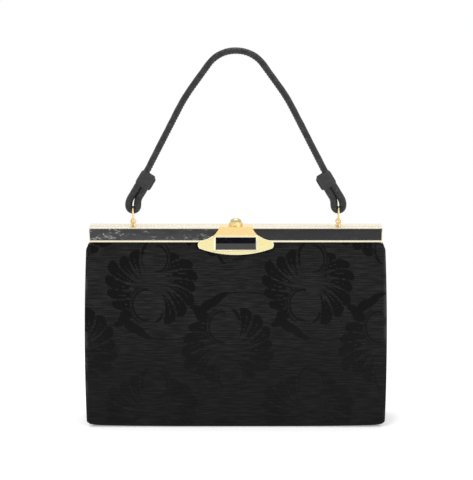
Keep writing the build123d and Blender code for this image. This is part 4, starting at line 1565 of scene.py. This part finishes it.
@dataclass
class Handle:
    """The rolled handle, its bands, rings and posts. Millimetres."""

    plane: float = 5.5
    cord: float = 2.8
    top: float = 321.6
    top_half: float = 15.0
    top_bend: float = 28.0
    shoulder_x: float = 44.0
    shoulder_z: float = 281.5
    shoulder_bend: float = 150.0
    leg_x: float = 76.5
    leg_z: float = 218.0
    leg_bend: float = 60.0
    span: float = 88.6
    ring_radius: float = 6.4
    ring_wire: float = 0.7
    ring_centre: float = 180.7
    loop: float = 3.8
    bend_rise: float = 4.5
    strand_bend: float = 12.0
    gap: float = 0.3
    band_middle: float = 210.0
    band_length: float = 13.5
    tail_reach: float = 4.5
    loop_swell: float = 0.45
    frame_top: float = 171.0
    eye_height: float = 174.3
    eye_radius: float = 2.0
    eye_wire: float = 0.75
    line_step: float = 0.75
    loop_foot: float = 183.0
    swell_over: float = 6.0
    stitch_pitch: float = 2.6
    stitch_length: float = 1.8
    stitch_thickness: float = 0.42
    band_wall: float = 1.05
    band_inner: float = 0.12
    band_round: float = 0.55
    band_taper: float = 0.16
    stub_radius: float = 1.55
    stub_share: float = 0.43
    band_steps: int = 56
    ring_steps: int = 72
    eye_steps: int = 40

    def strand_foot(self) -> float:
        """Height where the outer strand starts to curve into the loop."""
        return self.ring_centre + self.ring_radius + self.bend_rise

    def lean(self) -> float:
        """Angle of the legs near the bands."""
        return math.atan2(self.span + self.loop - self.leg_x, self.leg_z - self.strand_foot())

    def apart(self) -> float:
        """Distance across between the two strands."""
        return (2 * self.cord + self.gap) / math.cos(self.lean())

    def route(self) -> tuple[list[tuple[float, float]], list[float]]:
        """The whole handle's line, left to right.

        Returns:
            Its corner points, and the radii of its bends.
        """
        main, foot = self.strand_foot(), self.ring_centre + self.ring_radius - self.loop
        outer, inner = self.span + self.loop, self.span - self.loop
        tilt = math.tan(self.lean())
        tail_bend = main + (2 * self.loop - self.apart()) / tilt
        tail_end = self.band_middle + self.tail_reach
        right = [(self.top_half, self.top), (self.shoulder_x, self.shoulder_z), (self.leg_x, self.leg_z),
                 (outer, main), (outer, foot), (inner, foot), (inner, tail_bend),
                 (inner - (tail_end - tail_bend) * tilt, tail_end)]
        fold = self.loop - 0.05
        bends = [self.top_bend, self.shoulder_bend, self.leg_bend, self.strand_bend, fold, fold,
                 self.strand_bend]
        return [(-x, z) for x, z in reversed(right)] + right, list(reversed(bends)) + bends

    def centreline(self) -> np.ndarray:
        """The handle's line with its bends rounded.

        Returns:
            Points in metres, evenly spaced.
        """
        corners, bends = self.route()
        points = [np.array(corners[0])]
        for k, radius in enumerate(bends, start=1):
            here, before, after = (np.array(corners[i]) for i in (k, k - 1, k + 1))
            arrive = (here - before) / np.linalg.norm(here - before)
            leave = (after - here) / np.linalg.norm(after - here)
            turn = math.acos(max(-1.0, min(1.0, float(arrive @ leave))))
            cut = radius * math.tan(turn / 2)
            side = np.array([-arrive[1], arrive[0]])
            if float(side @ leave) < 0:
                side = -side
            centre = here - arrive * cut + side * radius
            for share in np.linspace(0, turn, max(6, int(turn * 14))):
                points.append(centre - side * radius * math.cos(share) + arrive * radius * math.sin(share))
        points.append(np.array(corners[-1]))
        flat = np.array(points)
        gone = travelled(flat)
        where = np.arange(0, gone[-1], self.line_step)
        x, z = np.interp(where, gone, flat[:, 0]), np.interp(where, gone, flat[:, 1])
        for _ in range(3):
            x[1:-1] = (x[:-2] + 2 * x[1:-1] + x[2:]) / 4
            z[1:-1] = (z[:-2] + 2 * z[1:-1] + z[2:]) / 4
        return np.stack([x, np.full_like(x, self.plane), z], axis=1) * MM

    def strap(self) -> None:
        """The rolled leather with its wrinkles and its stitched seam underneath."""
        path = self.centreline()
        steps = np.arange(len(path)) * self.line_step
        wrinkle = 0.07 * np.sin(steps / 2.1) * np.sin(steps / 17.0) + 0.05 * np.sin(steps / 5.3 + 1.0)
        high = path[:, 2] / MM
        above = np.clip((high - self.loop_foot) / self.swell_over, 0, 1)
        loop = above * np.clip((self.band_middle - high) / self.swell_over, 0, 1)
        radius = (self.cord - 0.05 + wrinkle + self.loop_swell * loop) * MM
        fade = np.minimum(steps, steps[-1] - steps)
        radius = radius * np.sqrt(np.clip(fade / 2.0, 0.06, 1.0))
        strap = tube("rolled_strap", path, radius, np.array([0.0, 1.0, 0.0]), Finish.ROLLED_LEATHER, 24)
        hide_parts("handle_cord")
        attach(strap, HANDLE)
        reach = path[:, 2] > (self.band_middle + self.band_length / 2 + 3.0) * MM
        middle = path[reach]
        tangent = np.gradient(middle, axis=0)
        tangent /= np.linalg.norm(tangent, axis=1, keepdims=True)
        under = np.cross(tangent, np.array([0.0, 1.0, 0.0]))
        if float(under[len(under) // 2][2]) > 0:
            under = -under
        seam = middle + under * (self.cord - 0.02) * MM
        sizes = {"Pitch": self.stitch_pitch * MM, "Length": self.stitch_length * MM,
                 "Thickness": self.stitch_thickness * MM}
        row = PathNodes.stitches().lay("strap_stitches", seam, sizes, Finish.THREAD)
        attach(row, HANDLE)

    def band(self, end: int, side: str) -> None:
        """A flat leather collar round both strands, with the overlap of its wrapped end.

        Args:
            end: -1 at the left end and +1 at the right end.
            side: "left" or "right".
        """
        lean, apart = self.lean(), self.apart()
        at_band = self.span + self.loop - (self.band_middle - self.strand_foot()) * math.tan(lean)
        centre = np.array([at_band - apart / 2, self.plane, self.band_middle])
        along = np.array([-math.sin(lean), 0.0, math.cos(lean)])
        across = np.array([math.cos(lean), 0.0, math.sin(lean)])
        deep = np.array([0.0, 1.0, 0.0])
        half_flat = (2 * self.cord + self.gap) / 2
        points, girth = [], []
        turn = around_once(self.band_steps)
        profile = [(share, 1.0 - self.band_round * abs(share) ** 7) for share in np.linspace(-1, 1, 13)]
        loops = [(share, self.cord + self.band_wall * full) for share, full in profile]
        loops += [(share, self.cord + self.band_inner) for share, _ in reversed(profile)]
        for share, radius in loops:
            for angle in turn:
                flat = half_flat * math.copysign(min(1.0, abs(math.cos(angle)) * 4), math.cos(angle))
                flat *= 1.0 - self.band_taper * abs(share) ** 7
                spot = centre + across * (flat + radius * math.cos(angle)) + deep * radius * math.sin(angle)
                points.append(spot + along * share * self.band_length / 2)
                girth.append(angle * (radius + half_flat) * 0.8)
        faces = hoop_faces(len(loops), self.band_steps, closed=True)
        spots = np.array(points)
        spots[:, 0] *= end
        band = make_object(f"{side}_collar", spots * MM, faces, Finish.BAND_LEATHER, 50.0)
        lengths = np.repeat([share for share, _ in loops], self.band_steps) * self.band_length / 2
        set_map(band, np.array(girth) * MM, lengths * MM)
        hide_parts(f"{side}_band")
        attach(band, HANDLE)
        stub_at = centre - across * (half_flat + self.cord + 0.55) - along * 0.5
        rows = np.linspace(-1, 1, 15)
        path = np.array([stub_at + along * share * self.band_length * self.stub_share for share in rows])
        path[:, 0] *= end
        size = self.stub_radius * (1 - self.band_round * np.abs(rows) ** 8) * MM
        stub = tube(f"{side}_overlap", path * MM, size, np.array([0.0, 1.0, 0.0]), Finish.BAND_LEATHER, 14)
        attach(stub, HANDLE)

    def ring(self, end: int, side: str) -> None:
        """A round wire ring.

        Args:
            end: -1 at the left end and +1 at the right end.
            side: "left" or "right".
        """
        count = self.ring_steps
        turn = around_once(count)
        path = np.stack([np.full(count, end * self.span), self.plane + self.ring_radius * np.cos(turn),
                         self.ring_centre + self.ring_radius * np.sin(turn)], axis=1) * MM
        ring = tube(f"{side}_wire_ring", path, np.full(count, self.ring_wire * MM), np.array([1.0, 0.0, 0.0]),
                    Finish.FITTING_GILT, 16, closed=True)
        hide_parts(f"{side}_ring")
        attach(ring, f"{side}_ring")

    def post(self, end: int, side: str) -> None:
        """An eye on a turned foot, riveted through the rail.

        Args:
            end: -1 at the left end and +1 at the right end.
            side: "left" or "right".
        """
        foot = self.frame_top
        profile = [(0.2, foot - 1.5), (1.2, foot - 1.5), (1.2, foot), (2.8, foot), (2.8, foot + 0.45),
                   (2.45, foot + 0.85), (1.5, foot + 0.95), (1.25, foot + 1.15), (0.9, foot + 1.3),
                   (0.2, foot + 1.35)]
        base = lathe(f"{side}_post_foot", [(r * MM, h * MM) for r, h in profile],
                     Vector((end * self.span * MM, self.plane * MM, 0)), "Z", Finish.FITTING_GILT, 36)
        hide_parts(f"{side}_post")
        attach(base, BACK)
        count = self.eye_steps
        turn = around_once(count)
        path = np.stack([end * self.span + self.eye_radius * np.cos(turn), np.full(count, self.plane),
                         self.eye_height + self.eye_radius * np.sin(turn)], axis=1) * MM
        eye = tube(f"{side}_post_eye", path, np.full(count, self.eye_wire * MM), np.array([0.0, 1.0, 0.0]),
                   Finish.FITTING_GILT, 14, closed=True)
        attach(eye, BACK)

    def build(self) -> None:
        """Makes and places every piece of the handle."""
        self.strap()
        for end, side in ((-1, "left"), (1, "right")):
            self.band(end, side)
            self.ring(end, side)
            self.post(end, side)
        LOG.info("handle: strap, bands, rings and posts made")


@dataclass
class Studio:
    """Pale floor, soft light and the camera."""

    elevation: float = 9.9
    distance: float = 1.9
    view_height: float = 0.4118
    target: tuple[float, float, float] = (0.0006, -0.0112, 0.1605)
    sensor: float = 36.0
    floor_lift: float = 0.30
    floor_half: float = 6.0
    white_from: float = 0.20
    white_to: float = 0.55
    ambient: float = 0.55
    flag_low: float = 0.17
    flag_high: float = 0.42
    flag_half: float = 1.2
    flag_y: float = -1.25
    # Each lamp: its name, place, power and size.
    lamps: tuple[tuple[str, tuple[float, float, float], float, float], ...] = (
        ("key", (-0.7, -1.2, 1.5), 17.0, 1.1), ("fill", (1.1, -1.3, 0.6), 6.0, 1.2),
        ("top", (0.1, 0.5, 1.7), 12.0, 1.0))

    def backdrop(self) -> None:
        """A white world and a floor that keeps the shadow."""
        world = bpy.data.worlds.new("studio")
        bpy.context.scene.world = world
        world.use_nodes = True
        nodes, links = world.node_tree.nodes, world.node_tree.links
        nodes.clear()
        rays = nodes.new("ShaderNodeLightPath")
        seen = rays.outputs["Is Camera Ray"]
        for kind in ("Is Transmission Ray", "Is Glossy Ray"):
            either = nodes.new("ShaderNodeMath")
            either.operation = "MAXIMUM"
            links.new(seen, either.inputs[0])
            links.new(rays.outputs[kind], either.inputs[1])
            seen = either.outputs[0]
        mixed, end = nodes.new("ShaderNodeMixShader"), nodes.new("ShaderNodeOutputWorld")
        links.new(seen, mixed.inputs[0])
        for place, strength in ((1, self.ambient), (2, 1.0)):
            shade = nodes.new("ShaderNodeBackground")
            shade.inputs["Color"].default_value = (1, 1, 1, 1)
            shade.inputs["Strength"].default_value = strength
            links.new(shade.outputs[0], mixed.inputs[place])
        links.new(mixed.outputs[0], end.inputs["Surface"])
        self.floor()
        self.flag()

    def floor(self) -> None:
        """A pale floor that keeps the shadow and fades to white further off."""
        tree = ShaderTree("pale_floor")
        camera = tree.node("ShaderNodeLightPath", None, None, "Is Camera Ray")
        glossy = tree.node("ShaderNodeLightPath", None, None, "Is Glossy Ray")
        through = tree.node("ShaderNodeLightPath", None, None, "Is Transmission Ray")
        seen = tree.node("ShaderNodeMath", {"operation": "ADD", "use_clamp": True}, {
            "Value": camera + glossy, "Value_001": through})
        away = tree.node("ShaderNodeVectorMath", {"operation": "LENGTH"}, {"Vector": tree.place()}, "Value")
        far = tree.step(away, self.white_from, self.white_to) * seen
        near = tree.node("ShaderNodeBsdfPrincipled", None, {
            "Base Color": (0.88, 0.88, 0.88), "Roughness": 0.9, "Specular IOR Level": 0.0,
            "Emission Color": (1.0, 1.0, 1.0), "Emission Strength": seen * self.floor_lift})
        white = tree.node("ShaderNodeEmission", None, {"Color": (1.0, 1.0, 1.0), "Strength": 1.0})
        mixed = tree.node("ShaderNodeMixShader", None, {"Fac": far, "Shader": near, "Shader_001": white})
        end = tree.tree.nodes.new("ShaderNodeOutputMaterial")
        tree.tree.links.new(mixed.link, end.inputs["Surface"])
        half = self.floor_half
        corners = [(-half, -half, 0), (half, -half, 0), (half, half, 0), (-half, half, 0)]
        self.card("floor", corners, tree.material)

    def flag(self) -> None:
        """A dark card over the camera that only polished things reflect."""
        tree = ShaderTree("dark_flag")
        material = tree.surface({
            "Base Color": (0.01, 0.01, 0.01), "Roughness": 1.0, "Specular IOR Level": 0.0})
        low, high, half, y = self.flag_low, self.flag_high, self.flag_half, self.flag_y
        corners = [(-half, y, low), (half, y, low), (half, y, high), (-half, y, high)]
        card = self.card("flag", corners, material)
        card.visible_camera = card.visible_diffuse = card.visible_shadow = False
        card.visible_transmission = False

    def card(self, name: str, corners: list[tuple[float, float, float]],
             material: bpy.types.Material) -> bpy.types.Object:
        """A flat piece of the stage.

        Args:
            name: The piece's name.
            corners: Its four corners.
            material: What it is made of.

        Returns:
            The object.
        """
        mesh = bpy.data.meshes.new(name)
        mesh.from_pydata(corners, [], [(0, 1, 2, 3)])
        mesh.materials.append(material)
        made = link_object(name, mesh)
        return made

    def lamp(self, name: str, place: Vector, power: float, size: float) -> bpy.types.Object:
        """A soft square lamp that looks at the bag.

        Args:
            name: The lamp's name.
            place: Where it stands.
            power: In watts.
            size: The length of its side.

        Returns:
            The lamp.
        """
        light = bpy.data.lights.new(name, "AREA")
        light.energy, light.size = power, size
        lamp = link_object(name, light)
        lamp.location = place
        lamp.rotation_euler = (Vector(self.target) - place).to_track_quat("-Z", "Y").to_euler()
        return lamp

    def build(self) -> None:
        """Sets the whole stage."""
        self.backdrop()
        for name, place, power, size in self.lamps:
            lamp = self.lamp(name, Vector(place), power, size)
            lamp.visible_glossy = name != "key"
        data = bpy.data.cameras.new("camera")
        camera = link_object("camera", data)
        tilt = math.radians(self.elevation)
        away = Vector((0, -math.cos(tilt), math.sin(tilt)))
        camera.location = Vector(self.target) + away * self.distance
        camera.rotation_euler = (-away).to_track_quat("-Z", "Y").to_euler()
        data.sensor_width = self.sensor
        long_side = max(IMAGE_WIDTH, IMAGE_HEIGHT) / IMAGE_HEIGHT * self.view_height
        data.lens = self.sensor * self.distance / long_side
        bpy.context.scene.camera = camera
        bpy.context.scene.view_settings.view_transform = "Standard"
        LOG.info("studio: floor, lamps and camera set")


def write_sizes() -> None:
    """Brings the scene's view layer up to date."""
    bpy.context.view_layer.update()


def main() -> None:
    """Builds the handbag and its stage."""
    logging.basicConfig(level=logging.INFO, format="%(name)s: %(message)s")
    Studio().build()
    BagBody().build()
    FrameWork().build()
    Clasp().build()
    Handle().build()
    write_sizes()


if __name__ == "__main__":
    main()
